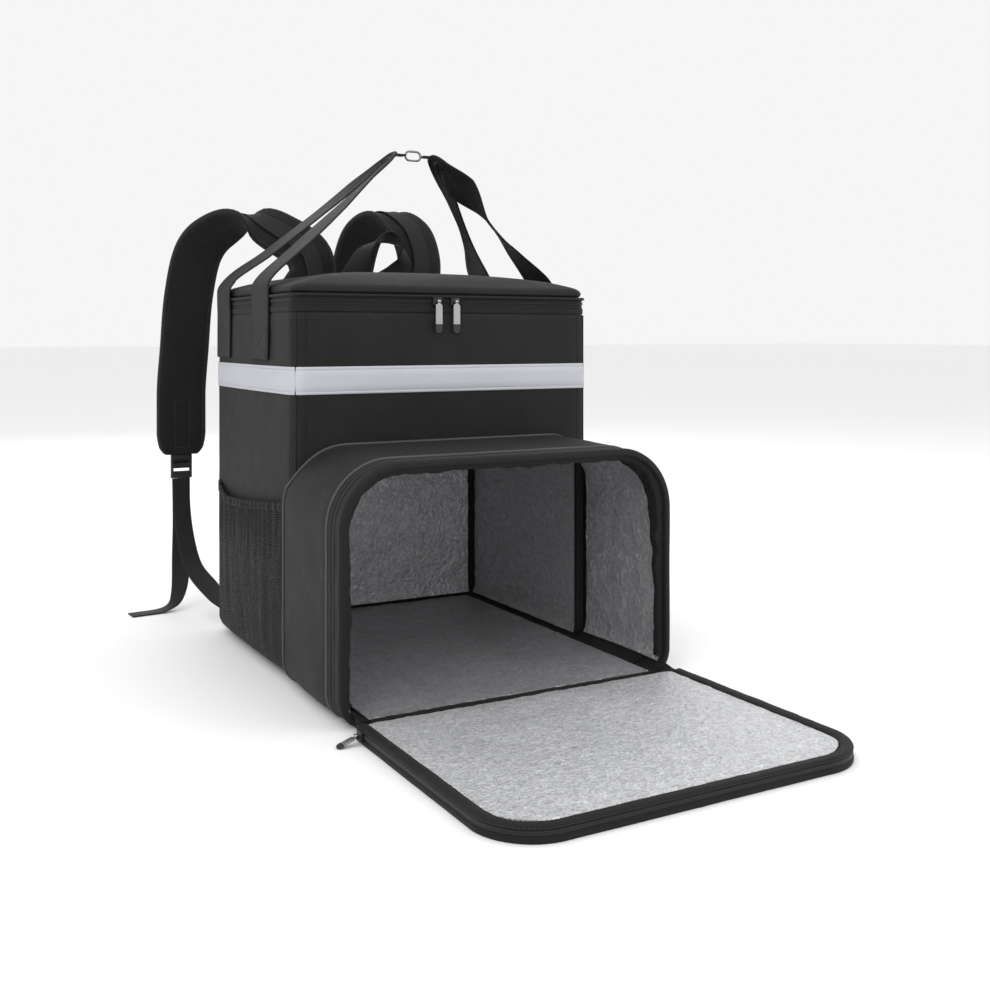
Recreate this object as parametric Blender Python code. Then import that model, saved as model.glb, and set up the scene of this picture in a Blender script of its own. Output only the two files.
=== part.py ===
"""Insulated delivery backpack with an open front compartment.

Units are metres and +Z is up.  The origin is the centre of the main body's
base, on the floor.  The front of the bag faces -Y and the wearer's side +Y.
"""

import math

import bmesh
import bpy
from mathutils import Matrix, Vector

# Main body
BODY_WIDTH = 0.400
BODY_DEPTH = 0.310
PANEL_TOP = 0.427
LID_SEAM = 0.447
ZIP_LINE = 0.441
WALL = 0.007
CORNER_RADIUS = 0.016
BASE_ROUNDING = 0.025
SIDE_BULGE = 0.003
FRONT_BULGE = 0.002
LID_RISE = 0.033

# Front compartment
COMPARTMENT_WIDTH = 0.414
COMPARTMENT_HEIGHT = 0.274
MOUTH_DROP = 0.006
GUSSET_DEPTH = 0.125
MOUTH_BAND_DEPTH = 0.035
TOP_ROUNDING = 0.070
FOOT_ROUNDING = 0.030
COMPARTMENT_BULGE = 0.003

# Flap that lies open on the floor
FLAP_WIDTH = 0.406
FLAP_LENGTH = 0.298
FLAP_THICKNESS = 0.015
FLAP_BAND_WIDTH = 0.013
FLAP_FAR_ROUNDING = 0.058
HINGE_STRIP_LENGTH = 0.026
HINGE_STRIP_HEIGHT = 0.009

# Trim
GAP = 0.0003
PIPING_RADIUS = 0.0017
ZIP_RECESS = 0.001
FOIL = 0.001
BAND_FOOT = 0.332
BAND_HEIGHT = 0.032
BAND_THICKNESS = 0.0008

# Mesh pocket on the left side
POCKET_HEIGHT = 0.208
POCKET_FOOT = 0.010
POCKET_HALF_LENGTH = 0.135
POCKET_FULLNESS = 0.009
POCKET_CLOTH = 0.001
POCKET_BINDING = 0.010
POCKET_BINDING_THICKNESS = 0.0022

# Carry handles
HANDLE_WIDTH = 0.064
HANDLE_THICKNESS = 0.0022
HANDLE_FOOT = 0.371
HANDLE_FRONT = -0.042
HANDLE_REAR = 0.112
HANDLE_APEX_HEIGHT = 0.632
HANDLE_APEX_DEPTH = -0.014
LEFT_APEX = -0.020
RIGHT_APEX = 0.052
HANDLE_TOP_WIDTH = 0.026
HANDLE_SAG = 0.010

# Clasp that joins the two carry handles
CLASP_CENTRE = 0.016
CLASP_HEIGHT = 0.638
CLASP_HALF_LENGTH = 0.011
CLASP_HALF_HEIGHT = 0.006
CLASP_WIRE = 0.0015
GATE_WIRE = 0.0013
KEEPER_WIDTH = 0.014
KEEPER_THICKNESS = 0.002
KEEPER_SEAT = 0.0092

# Shoulder straps
STRAP_SPREAD = 0.080
STRAP_WIDTH = 0.070
STRAP_THICKNESS = 0.012
STRAP_REACH = 0.120
STRAP_LEAN_END = 0.35
PAD_END = 0.228
ARCH_HEIGHT = 0.565
WEBBING_WIDTH = 0.025
WEBBING_THICKNESS = 0.0016
LOCK_WIDTH = 0.030
LOCK_HEIGHT = 0.034
LOCK_THICKNESS = 0.005
LOCK_SLOT = 0.005
LOWER_ANCHOR = 0.033
TAIL_LENGTH = 0.070

# Grab handle at the top of the back
GRAB_WIDTH = 0.028
GRAB_SPREAD = 0.024
GRAB_HEIGHT = 0.545
GRAB_FOOT = 0.428

# Zip sliders and pulls
SLIDER_LENGTH = 0.012
SLIDER_HEIGHT = 0.010
SLIDER_THICKNESS = 0.0035
PULL_LENGTH = 0.039
PULL_WIDTH = 0.009
PULL_THICKNESS = 0.0016
KNUCKLE_RADIUS = 0.0021
KNUCKLE_LENGTH = 0.0042
PIN_RADIUS = 0.0008
EAR_THICKNESS = 0.0012
FLAP_PULL_LENGTH = 0.022
FLAP_SLIDER_SETBACK = 0.016
LEFT_SLIDER = -0.018
RIGHT_SLIDER = 0.006

HALF_WIDTH = BODY_WIDTH / 2
HALF_DEPTH = BODY_DEPTH / 2
PIPING_GROOVE = 2 * PIPING_RADIUS + 4 * GAP
GUSSET_FRONT = -HALF_DEPTH - GUSSET_DEPTH
BAND_REAR = GUSSET_FRONT - PIPING_GROOVE
MOUTH = BAND_REAR - MOUTH_BAND_DEPTH
FLAP_NEAR = MOUTH - GAP - HINGE_STRIP_LENGTH
FLAP_FAR = FLAP_NEAR - FLAP_LENGTH

CORNER_STEPS = 4
SIDE_STEPS = 8
FRONT_STEPS = 8

# Crown of the lid from its rim to its middle
LID_OUTSIDE = (
    # outline scale, height share of the rise
    (1.000, 0.00),
    (1.000, 0.18),
    (0.985, 0.32),
    (0.930, 0.50),
    (0.800, 0.68),
    (0.600, 0.84),
    (0.330, 0.95),
)
LID_INSIDE = (
    (0.955, 0.00),
    (0.920, 0.16),
    (0.780, 0.38),
    (0.550, 0.55),
    (0.300, 0.66),
)
LID_INSIDE_TOP = 0.70

# Top edge of the mesh pocket, front to rear
POCKET_EDGE = (
    # share of the half length, share of the pocket height
    (-1.0, 1.000),
    (-0.6, 0.976),
    (-0.2, 0.952),
    (0.1, 0.938),
    (0.5, 0.924),
    (0.75, 0.948),
    (0.9, 0.975),
    (1.0, 0.990),
)
# Fullness of the pocket from its foot to its top edge
POCKET_BELLY = (
    # share of the pocket height, share of the fullness
    (0.00, 0.00),
    (0.12, 0.50),
    (0.35, 0.90),
    (0.65, 1.00),
    (0.95, 0.80),
    (1.00, 0.75),
)

# Runs of the carry handles, from the lid's edge to the apex
LEFT_FRONT_RUN = (
    # share of the way, sag share, width share, width direction x, y, z
    (0.00, 0.0, 1.00, 0.00, 1.00, 0.00),
    (0.30, 0.8, 1.00, 0.00, 1.00, 0.00),
    (0.60, 0.9, 0.97, 0.00, 1.00, -0.05),
    (0.86, 0.4, 0.78, -0.10, 0.92, -0.25),
)
LEFT_REAR_RUN = (
    (0.00, 0.0, 1.00, 0.00, -1.00, 0.00),
    (0.30, 0.8, 1.00, 0.00, -1.00, 0.00),
    (0.60, 0.9, 0.95, -0.08, -0.95, -0.05),
    (0.86, 0.4, 0.70, -0.25, -0.80, -0.30),
)
RIGHT_FRONT_RUN = (
    (0.00, 0.0, 1.00, 0.00, 1.00, 0.00),
    (0.30, 0.9, 0.92, 0.20, 0.95, 0.10),
    (0.55, 1.0, 0.75, 0.42, 0.88, 0.20),
    (0.85, 0.5, 0.85, 0.00, 0.85, -0.45),
)
RIGHT_REAR_RUN = (
    (0.00, 0.0, 1.00, 0.00, -1.00, 0.00),
    (0.30, 0.9, 0.90, -0.25, -0.95, 0.00),
    (0.55, 1.0, 0.72, -0.35, -0.90, 0.00),
    (0.85, 0.5, 0.70, 0.10, -0.85, -0.40),
)

# Centre lines of the shoulder straps, from the back panel to the pad end
LEFT_STRAP = (
    # across as share of the body width, back as share of the reach,
    # height share from pad end to arch, width share
    (0.0000, 0.006, 0.585, 1.00),
    (0.0000, 0.016, 0.645, 1.00),
    (0.0300, 0.065, 0.700, 1.00),
    (0.0680, 0.125, 0.765, 1.00),
    (0.0600, 0.190, 0.850, 1.00),
    (-0.0250, 0.290, 0.935, 1.00),
    (-0.1425, 0.460, 1.000, 1.00),
    (-0.2300, 0.640, 0.960, 1.00),
    (-0.2925, 0.790, 0.868, 1.00),
    (-0.3200, 0.905, 0.680, 1.00),
    (-0.3325, 0.950, 0.450, 1.00),
    (-0.3425, 0.965, 0.250, 1.00),
    (-0.3425, 0.965, 0.090, 1.00),
    (-0.3425, 0.965, 0.030, 0.90),
    (-0.3425, 0.965, 0.000, 0.62),
)
RIGHT_STRAP = (
    (0.0000, 0.006, 0.585, 1.00),
    (0.0000, 0.018, 0.645, 1.00),
    (0.0420, 0.085, 0.700, 1.00),
    (0.0900, 0.165, 0.765, 1.00),
    (0.1050, 0.240, 0.860, 1.00),
    (0.0800, 0.360, 0.985, 1.00),
    (0.0150, 0.600, 1.050, 1.00),
    (-0.0350, 0.890, 0.990, 1.00),
    (-0.0575, 1.080, 0.850, 1.00),
    (-0.0700, 1.170, 0.650, 1.00),
    (-0.0750, 1.200, 0.400, 1.00),
    (-0.0750, 1.210, 0.200, 1.00),
    (-0.0750, 1.210, 0.090, 1.00),
    (-0.0750, 1.210, 0.030, 0.90),
    (-0.0750, 1.210, 0.000, 0.62),
)

# Adjusting webbing from the ladder lock to the lower corner of the back
LOWER_RUN = (
    # way across and back, height share, width direction x, y, z
    (0.00, 1.00, 1.00, 0.00, 0.00),
    (0.00, 0.85, 1.00, 0.00, 0.00),
    (0.08, 0.52, 1.00, 0.00, 0.00),
    (0.30, 0.22, 0.95, 0.00, 0.25),
    (0.72, 0.06, 0.60, 0.00, 0.80),
)

# Insets from the body's side of each lower run's last bend and of its end
LOWER_END = {"left": (0.012, 0.032), "right": (0.050, 0.028)}

# Loose tails of the adjusting webbing, from the ladder lock to the tip
LEFT_TAIL = (
    # across and back as shares of the tail's length, height share, width direction x, y
    (0.00, 0.00, 1.000, 1.0, 0.0),
    (0.02, 0.04, 0.640, 1.0, 0.0),
    (0.02, 0.09, 0.300, 0.9, -0.4),
    (-0.06, 0.11, 0.090, 0.5, -0.85),
    (-0.30, 0.11, 0.012, 0.0, -1.0),
    (-0.65, 0.09, 0.000, 0.0, -1.0),
    (-1.00, 0.06, 0.000, 0.0, -1.0),
)
RIGHT_TAIL = (
    (0.00, 0.00, 1.000, 1.0, 0.0),
    (0.00, 0.04, 0.640, 1.0, 0.0),
    (0.00, 0.06, 0.300, 1.0, 0.0),
    (0.00, 0.02, 0.080, 1.0, 0.0),
    (0.00, -0.22, 0.010, 1.0, 0.0),
    (0.00, -0.60, 0.000, 1.0, 0.0),
    (0.00, -1.00, 0.000, 1.0, 0.0),
)

# Grab handle from its left foot to its right foot
GRAB_LOOP = (
    # across as share of the spread, height share, width direction x, y, z
    (-1.00, None, 1.0, 0.0, 0.0),
    (-0.95, 0.00, 1.0, 0.0, 0.0),
    (-0.60, 0.20, 1.0, 0.0, 0.0),
    (0.15, 0.48, 0.95, -0.3, 0.0),
    (1.00, 0.82, 0.55, -0.8, 0.2),
    (2.30, 1.00, 0.0, -0.8, 0.55),
    (3.30, 0.84, -0.5, -0.8, 0.3),
    (3.40, 0.62, -0.93, -0.30, 0.0),
    (2.75, 0.44, -1.0, 0.0, 0.0),
    (1.70, 0.28, -1.0, 0.0, 0.0),
    (1.15, 0.14, -1.0, 0.0, 0.0),
    (1.00, 0.00, -1.0, 0.0, 0.0),
    (1.00, None, -1.0, 0.0, 0.0),
)


def clear_scene() -> None:
    """Remove whatever objects the scene holds."""
    for item in list(bpy.data.objects):
        bpy.data.objects.remove(item, do_unlink=True)


def make_material(name, colour, roughness, metallic=0.0):
    """Return a Principled material of one colour."""
    material = bpy.data.materials.new(name)
    material.use_nodes = True
    shader = material.node_tree.nodes["Principled BSDF"]
    shader.inputs["Base Color"].default_value = (*colour, 1.0)
    shader.inputs["Roughness"].default_value = roughness
    shader.inputs["Metallic"].default_value = metallic
    return material


def add_object(name, bm, material, origin=(0.0, 0.0, 0.0), smooth=True):
    """Link a bmesh, given in world coordinates, as an object with an origin."""
    bmesh.ops.recalc_face_normals(bm, faces=bm.faces)
    bmesh.ops.translate(bm, verts=bm.verts, vec=-Vector(origin))
    mesh = bpy.data.meshes.new(name)
    bm.to_mesh(mesh)
    bm.free()
    if smooth:
        mesh.shade_smooth()
        mesh.set_sharp_from_angle(angle=math.radians(40))
    mesh.materials.append(material)
    item = bpy.data.objects.new(name, mesh)
    item.location = origin
    bpy.context.scene.collection.objects.link(item)
    return item


def lerp(start, end, share):
    """Return the value a share of the way from start to end."""
    return start + (end - start) * share


def table_value(table, position, column=1):
    """Read a column of a table at a position between its rows."""
    if position <= table[0][0]:
        return table[0][column]
    for low, high in zip(table, table[1:]):
        if position <= high[0]:
            share = (position - low[0]) / (high[0] - low[0])
            return lerp(low[column], high[column], share)
    return table[-1][column]


def wall_mesh(outer, inner):
    """Close two grids of points, [column][row], into one solid wall."""
    bm = bmesh.new()
    out = [[bm.verts.new(p) for p in column] for column in outer]
    ins = [[bm.verts.new(p) for p in column] for column in inner]
    columns = len(out)
    rows = len(out[0])
    for i in range(columns - 1):
        for j in range(rows - 1):
            bm.faces.new((out[i][j], out[i + 1][j], out[i + 1][j + 1], out[i][j + 1]))
            bm.faces.new((ins[i][j], ins[i][j + 1], ins[i + 1][j + 1], ins[i + 1][j]))
    for i in range(columns - 1):
        bm.faces.new((out[i][0], ins[i][0], ins[i + 1][0], out[i + 1][0]))
        bm.faces.new((out[i][-1], out[i + 1][-1], ins[i + 1][-1], ins[i][-1]))
    for j in range(rows - 1):
        bm.faces.new((out[0][j], out[0][j + 1], ins[0][j + 1], ins[0][j]))
        bm.faces.new((out[-1][j], ins[-1][j], ins[-1][j + 1], out[-1][j + 1]))
    return bm


def loft_mesh(sections):
    """Loft closed sections of equal count and cap both ends."""
    bm = bmesh.new()
    loops = [[bm.verts.new(p) for p in section] for section in sections]
    count = len(loops[0])
    for near, far in zip(loops, loops[1:]):
        for i in range(count):
            k = (i + 1) % count
            bm.faces.new((near[i], near[k], far[k], far[i]))
    bm.faces.new(list(reversed(loops[0])))
    bm.faces.new(loops[-1])
    return bm


def box_mesh(low, high):
    """Return a bmesh box between two corners."""
    bm = bmesh.new()
    bmesh.ops.create_cube(bm, size=1.0)
    low = Vector(low)
    high = Vector(high)
    bmesh.ops.scale(bm, verts=bm.verts, vec=high - low)
    bmesh.ops.translate(bm, verts=bm.verts, vec=(low + high) / 2)
    return bm


def combine(target, tool, operation):
    """Apply an exact Boolean of tool to target and remove the tool."""
    modifier = target.modifiers.new("combine", "BOOLEAN")
    modifier.operation = operation
    modifier.solver = "EXACT"
    modifier.object = tool
    bpy.context.view_layer.update()
    graph = bpy.context.evaluated_depsgraph_get()
    mesh = bpy.data.meshes.new_from_object(target.evaluated_get(graph))
    mesh.name = target.name
    target.modifiers.clear()
    target.data = mesh
    bpy.data.objects.remove(tool, do_unlink=True)


# Skin of the main body


def base_tuck(z):
    """Return how far the wall draws in near the floor."""
    if z >= BASE_ROUNDING:
        return 0.0
    drop = BASE_ROUNDING - z
    return BASE_ROUNDING - math.sqrt(BASE_ROUNDING ** 2 - drop ** 2)


def side_stations(sign):
    """Return stations (x, y, nx, ny, swell) along a side, front to rear."""
    cx = HALF_WIDTH - CORNER_RADIUS
    cy = HALF_DEPTH - CORNER_RADIUS
    stations = []
    for k in range(CORNER_STEPS):
        angle = math.pi / 2 * k / CORNER_STEPS
        nx, ny = math.sin(angle), -math.cos(angle)
        x = cx + nx * CORNER_RADIUS
        y = -cy + ny * CORNER_RADIUS
        stations.append((sign * x, y, sign * nx, ny, 0.0))
    for k in range(SIDE_STEPS + 1):
        along = lerp(-1.0, 1.0, k / SIDE_STEPS)
        swell = SIDE_BULGE * (1 - along ** 2)
        stations.append((sign * HALF_WIDTH, along * cy, sign, 0.0, swell))
    for k in range(1, CORNER_STEPS + 1):
        angle = math.pi / 2 * k / CORNER_STEPS
        nx, ny = math.cos(angle), math.sin(angle)
        x = cx + nx * CORNER_RADIUS
        y = cy + ny * CORNER_RADIUS
        stations.append((sign * x, y, sign * nx, ny, 0.0))
    return stations


def front_stations():
    """Return stations across the front, left to right, between the corners."""
    reach = HALF_WIDTH - CORNER_RADIUS
    stations = []
    for k in range(FRONT_STEPS + 1):
        along = lerp(-1.0, 1.0, k / FRONT_STEPS)
        swell = FRONT_BULGE * (1 - along ** 2)
        stations.append((along * reach, -HALF_DEPTH, 0.0, -1.0, swell))
    return stations


def wrap_stations():
    """Return stations from the rear left corner round the front to the right."""
    left = list(reversed(side_stations(-1)))
    right = side_stations(1)
    return left[:-1] + front_stations() + right[1:]


def skin(station, z, out=0.0):
    """Return the point of the body's skin at a station and height."""
    x, y, nx, ny, swell = station
    fullness = math.sin(math.pi * min(z / LID_SEAM, 1.0))
    reach = out + swell * fullness - base_tuck(z)
    return Vector((x + nx * reach, y + ny * reach, z))


def side_skin(sign, y, z, out=0.0):
    """Return the point of a side's skin at a depth and height."""
    along = y / (HALF_DEPTH - CORNER_RADIUS)
    swell = SIDE_BULGE * (1 - along ** 2)
    return skin((sign * HALF_WIDTH, y, sign, 0.0, swell), z, out)


def wall_rows(foot, top):
    """Return heights for a wall, close together where the foot is round."""
    low = [foot, 0.012, 0.018, BASE_ROUNDING]
    high = [lerp(BASE_ROUNDING, top, k / 6) for k in range(1, 7)]
    return low + high


def build_base(fabric):
    """Build the base panel that the body stands on."""
    sections = []
    for z in (0.0, WALL * 0.3, WALL * 0.65, WALL):
        inset = base_tuck(z)
        reach = HALF_WIDTH - inset
        rear = HALF_DEPTH - inset
        radius = CORNER_RADIUS
        points = [Vector((-reach, -HALF_DEPTH, z)), Vector((reach, -HALF_DEPTH, z))]
        for sign in (1, -1):
            arc = []
            for k in range(CORNER_STEPS + 1):
                angle = math.pi / 2 * k / CORNER_STEPS
                x = reach - radius + radius * math.cos(angle)
                y = rear - radius + radius * math.sin(angle)
                arc.append(Vector((sign * x, y, z)))
            points += arc if sign > 0 else list(reversed(arc))
        sections.append(points)
    add_object("base_panel", loft_mesh(sections), fabric)


def build_side(name, sign, fabric):
    """Build a side wall with its two rounded corners."""
    rows = wall_rows(WALL + GAP, PANEL_TOP)
    stations = side_stations(sign)
    outer = [[skin(s, z) for z in rows] for s in stations]
    inner = [[skin(s, z, -WALL) for z in rows] for s in stations]
    add_object(name, wall_mesh(outer, inner), fabric)


def build_front(fabric):
    """Build the front wall above the compartment."""
    foot = COMPARTMENT_HEIGHT - WALL
    rows = [lerp(foot, PANEL_TOP, k / 5) for k in range(6)]
    stations = front_stations()
    first = list(stations[0])
    first[0] += GAP
    last = list(stations[-1])
    last[0] -= GAP
    stations = [tuple(first)] + stations[1:-1] + [tuple(last)]
    outer = [[skin(s, z) for z in rows] for s in stations]
    inner = [[skin(s, z, -WALL) for z in rows] for s in stations]
    add_object("front_panel", wall_mesh(outer, inner), fabric)


def build_back(fabric):
    """Build the flat back panel that lies against the wearer."""
    reach = HALF_WIDTH - CORNER_RADIUS - GAP
    rows = wall_rows(WALL + GAP, LID_SEAM - GAP)
    stations = [(lerp(-reach, reach, k / 4), HALF_DEPTH, 0.0, 1.0, 0.0) for k in range(5)]
    outer = [[skin(s, z) for z in rows] for s in stations]
    inner = [[skin(s, z, -WALL) for z in rows] for s in stations]
    add_object("back_panel", wall_mesh(outer, inner), fabric)


def build_zip_band(tape):
    """Build the zip band between the walls and the lid, open at the rear."""
    rows = (PANEL_TOP + GAP, LID_SEAM - GAP)
    stations = wrap_stations()
    outer = [[skin(s, z, -ZIP_RECESS) for z in rows] for s in stations]
    inner = [[skin(s, z, -WALL) for z in rows] for s in stations]
    add_object("lid_zip_band", wall_mesh(outer, inner), tape)


def lid_loop(scale, z):
    """Return the lid's rounded outline at a scale and height."""
    points = []
    radius = CORNER_RADIUS
    sides = ((1, -1), (1, 1), (-1, 1), (-1, -1))
    for quarter, (sx, sy) in enumerate(sides):
        start = math.pi / 2 * (quarter - 1)
        cx = sx * (HALF_WIDTH - radius)
        cy = sy * (HALF_DEPTH - radius)
        for k in range(CORNER_STEPS + 1):
            angle = start + math.pi / 2 * k / CORNER_STEPS
            x = cx + radius * math.cos(angle)
            y = cy + radius * math.sin(angle)
            points.append(Vector((x * scale, y * scale, z)))
        nx, ny = sides[(quarter + 1) % 4]
        end = points[-1]
        ahead = math.pi / 2 * quarter
        goal = Vector((
            scale * (nx * (HALF_WIDTH - radius) + radius * math.cos(ahead)),
            scale * (ny * (HALF_DEPTH - radius) + radius * math.sin(ahead)),
            z,
        ))
        for k in range(1, 5):
            points.append(end.lerp(goal, k / 5))
    return points


def build_lid(fabric):
    """Build the crowned, padded lid as a shallow dome with an open underside."""
    bm = bmesh.new()
    rows = [(s, LID_SEAM + h * LID_RISE) for s, h in reversed(LID_OUTSIDE)]
    rows += [(s, LID_SEAM + h * LID_RISE) for s, h in LID_INSIDE]
    loops = [[bm.verts.new(p) for p in lid_loop(s, z)] for s, z in rows]
    count = len(loops[0])
    for near, far in zip(loops, loops[1:]):
        for i in range(count):
            k = (i + 1) % count
            bm.faces.new((near[i], near[k], far[k], far[i]))
    crown = bm.verts.new((0.0, 0.0, LID_SEAM + LID_RISE))
    ceiling = bm.verts.new((0.0, 0.0, LID_SEAM + LID_INSIDE_TOP * LID_RISE))
    for i in range(count):
        k = (i + 1) % count
        bm.faces.new((loops[0][k], loops[0][i], crown))
        bm.faces.new((loops[-1][i], loops[-1][k], ceiling))
    add_object("lid", bm, fabric)


def build_reflective_band(tape):
    """Build the reflective band round the two sides and the front."""
    rows = (BAND_FOOT, BAND_FOOT + BAND_HEIGHT)
    stations = wrap_stations()
    outer = [[skin(s, z, GAP + BAND_THICKNESS) for z in rows] for s in stations]
    inner = [[skin(s, z, GAP) for z in rows] for s in stations]
    add_object("reflective_band", wall_mesh(outer, inner), tape)


# Front compartment


def seam_depth(x, z, clearance):
    """Return the depth of a line that runs a clearance ahead of the body's skin."""
    straight = HALF_WIDTH - CORNER_RADIUS
    off = max(abs(x) - straight, 0.0)
    reach = CORNER_RADIUS + clearance
    if off == 0.0:
        swell = FRONT_BULGE * (1 - (x / straight) ** 2)
        reach += swell * math.sin(math.pi * z / LID_SEAM)
    round_depth = math.sqrt(max(reach ** 2 - off ** 2, 0.0))
    return -(HALF_DEPTH - CORNER_RADIUS) - max(round_depth, clearance)


def ring_profile(share, out):
    """Return the compartment's section (x, z) at a share of its depth.

    Args:
        share: 0 at the body, 1 at the mouth.
        out: distance outside the skin, negative for inside.
    """
    top = COMPARTMENT_HEIGHT - MOUTH_DROP * share
    half = COMPARTMENT_WIDTH / 2 + COMPARTMENT_BULGE * math.sin(math.pi * share)
    points = []
    foot = FOOT_ROUNDING
    for k in range(5):
        angle = math.radians(270 - 90 * k / 4)
        reach = foot + out
        x = -(half - foot) + reach * math.cos(angle)
        points.append((x, foot + reach * math.sin(angle)))
    for k in range(1, 4):
        points.append((-(half + out), lerp(foot, top - TOP_ROUNDING, k / 4)))
    for k in range(9):
        angle = math.radians(180 - 90 * k / 8)
        reach = TOP_ROUNDING + out
        x = -(half - TOP_ROUNDING) + reach * math.cos(angle)
        points.append((x, top - TOP_ROUNDING + reach * math.sin(angle)))
    for k in range(1, 4):
        x = lerp(-(half - TOP_ROUNDING), 0.0, k / 4)
        points.append((x, top + out))
    points.append((0.0, top + out))
    return points + [(-x, z) for x, z in reversed(points[:-1])]


def ring_grid(rows, rear_offset=None):
    """Return a grid of ring points, one column for each place on the section.

    Args:
        rows: (depth, out) pairs; with rear_offset, depth is a share from the
            body's seam to the gusset's front.
        rear_offset: clearance to the body's seam, or None for plain depths.
    """
    span = GUSSET_FRONT + HALF_DEPTH
    grid = []
    for depth, out in rows:
        if rear_offset is None:
            share = (depth + HALF_DEPTH) / (MOUTH + HALF_DEPTH)
            grid.append([Vector((x, depth, z)) for x, z in ring_profile(share, out)])
            continue
        line = []
        share = depth * span / (MOUTH + HALF_DEPTH)
        for x, z in ring_profile(share, out):
            rear = seam_depth(x, z, rear_offset)
            line.append(Vector((x, lerp(rear, GUSSET_FRONT, depth), z)))
        grid.append(line)
    return [list(column) for column in zip(*grid)]


def build_gusset(fabric):
    """Build the compartment's sides and top as one bent strip."""
    shares = (0.0, 0.33, 0.66, 1.0)
    outer = ring_grid([(s, 0.0) for s in shares], PIPING_GROOVE)
    inner = ring_grid([(s, -WALL) for s in shares], PIPING_GROOVE)
    add_object("compartment_gusset", wall_mesh(outer, inner), fabric)


def build_mouth_band(tape):
    """Build the band with the zip round the compartment's mouth."""
    profile = (
        (BAND_REAR, -ZIP_RECESS),
        (MOUTH + 0.005, -ZIP_RECESS),
        (MOUTH + 0.003, 0.0),
        (MOUTH, 0.0),
    )
    outer = ring_grid(profile)
    inner = ring_grid([(depth, -WALL) for depth, _out in profile])
    add_object("compartment_mouth_band", wall_mesh(outer, inner), tape)


def build_compartment_base(fabric):
    """Build the compartment's floor, from the body's base to the mouth."""
    reach = COMPARTMENT_WIDTH / 2 - FOOT_ROUNDING - GAP
    low = (-reach, MOUTH, 0.0)
    high = (reach, -HALF_DEPTH - GAP, WALL)
    add_object("compartment_base", box_mesh(low, high), fabric, smooth=False)


def tube_sections(path, radius, sides=5):
    """Return round sections along a path of points."""
    sections = []
    for i, point in enumerate(path):
        ahead = path[min(i + 1, len(path) - 1)] - path[max(i - 1, 0)]
        tangent = ahead.normalized()
        guide = Vector((0.0, 1.0, 0.0))
        if abs(tangent.y) > 0.9:
            guide = Vector((1.0, 0.0, 0.0))
        across = tangent.cross(guide).normalized()
        third = tangent.cross(across)
        ring = []
        for k in range(sides):
            angle = 2 * math.pi * k / sides
            ring.append(point + radius * (math.cos(angle) * across + math.sin(angle) * third))
        sections.append(ring)
    return sections


def build_piping(name, depth, rear, trim):
    """Build one piping cord that lies in the seam groove of the compartment."""
    seat = -PIPING_RADIUS / 3
    if rear:
        share = 0.0
        points = []
        for x, z in ring_profile(share, seat):
            y = seam_depth(x, z, PIPING_GROOVE / 2)
            points.append(Vector((x, y, z)))
    else:
        share = (depth + HALF_DEPTH) / (MOUTH + HALF_DEPTH)
        points = [Vector((x, depth, z)) for x, z in ring_profile(share, seat)]
    path = points[2:-2]
    add_object(name, loft_mesh(tube_sections(path, PIPING_RADIUS)), trim)


# Foil lining


def build_foil(foil):
    """Build the foil lining where the open mouth shows it."""
    under = WALL + GAP
    floor_reach = COMPARTMENT_WIDTH / 2 - FOOT_ROUNDING
    rear = HALF_DEPTH - WALL - GAP
    low = (-floor_reach, MOUTH + 0.002, under)
    high = (floor_reach, rear - base_tuck(under), under + FOIL)
    add_object("foil_floor", box_mesh(low, high), foil, smooth=False)

    rows = wall_rows(under + FOIL + GAP, PANEL_TOP)
    for name, sign in (("foil_left", -1), ("foil_right", 1)):
        stations = side_stations(sign)[CORNER_STEPS:-CORNER_STEPS]
        outer = [[skin(s, z, -WALL - GAP) for z in rows] for s in stations]
        inner = [[skin(s, z, -WALL - GAP - FOIL) for z in rows] for s in stations]
        add_object(name, wall_mesh(outer, inner), foil)

    reach = HALF_WIDTH - CORNER_RADIUS - 2 * GAP
    back = [(lerp(-reach, reach, k / 2), HALF_DEPTH, 0.0, 1.0, 0.0) for k in range(3)]
    outer = [[skin(s, z, -WALL - GAP) for z in rows] for s in back]
    inner = [[skin(s, z, -WALL - GAP - FOIL) for z in rows] for s in back]
    add_object("foil_back", wall_mesh(outer, inner), foil)

    shares = (0.0, 0.5, 1.0)
    depths = [lerp(-HALF_DEPTH - GAP, MOUTH + 0.004, s) for s in shares]
    outer = ring_grid([(d, -WALL - GAP) for d in depths])
    inner = ring_grid([(d, -WALL - GAP - FOIL) for d in depths])
    trimmed = slice(2, -2)
    add_object("foil_compartment", wall_mesh(outer[trimmed], inner[trimmed]), foil)


# Flap


def flap_outline(inset, z, near=None):
    """Return the flap's outline, near left corner first, then round the far edge.

    Args:
        inset: distance inside the flap's outer edge.
        near: depth of the near edge, where it isn't the flap's own.
    """
    half = FLAP_WIDTH / 2 - inset
    far = FLAP_FAR + inset
    edge = FLAP_NEAR if near is None else near
    radius = FLAP_FAR_ROUNDING - inset
    points = []
    for k in range(1, 5):
        points.append(Vector((-half, lerp(edge, far + radius, k / 5), z)))
    for k in range(7):
        angle = math.radians(180 + 90 * k / 6)
        x = -half + radius + radius * math.cos(angle)
        points.append(Vector((x, far + radius + radius * math.sin(angle), z)))
    right = [Vector((-p.x, p.y, p.z)) for p in reversed(points)]
    middle = [Vector((lerp(points[-1].x, right[0].x, k / 5), far, z)) for k in range(1, 5)]
    ends = [Vector((-half, edge, z))], [Vector((half, edge, z))]
    return ends[0] + points + middle + right + ends[1]


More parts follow.
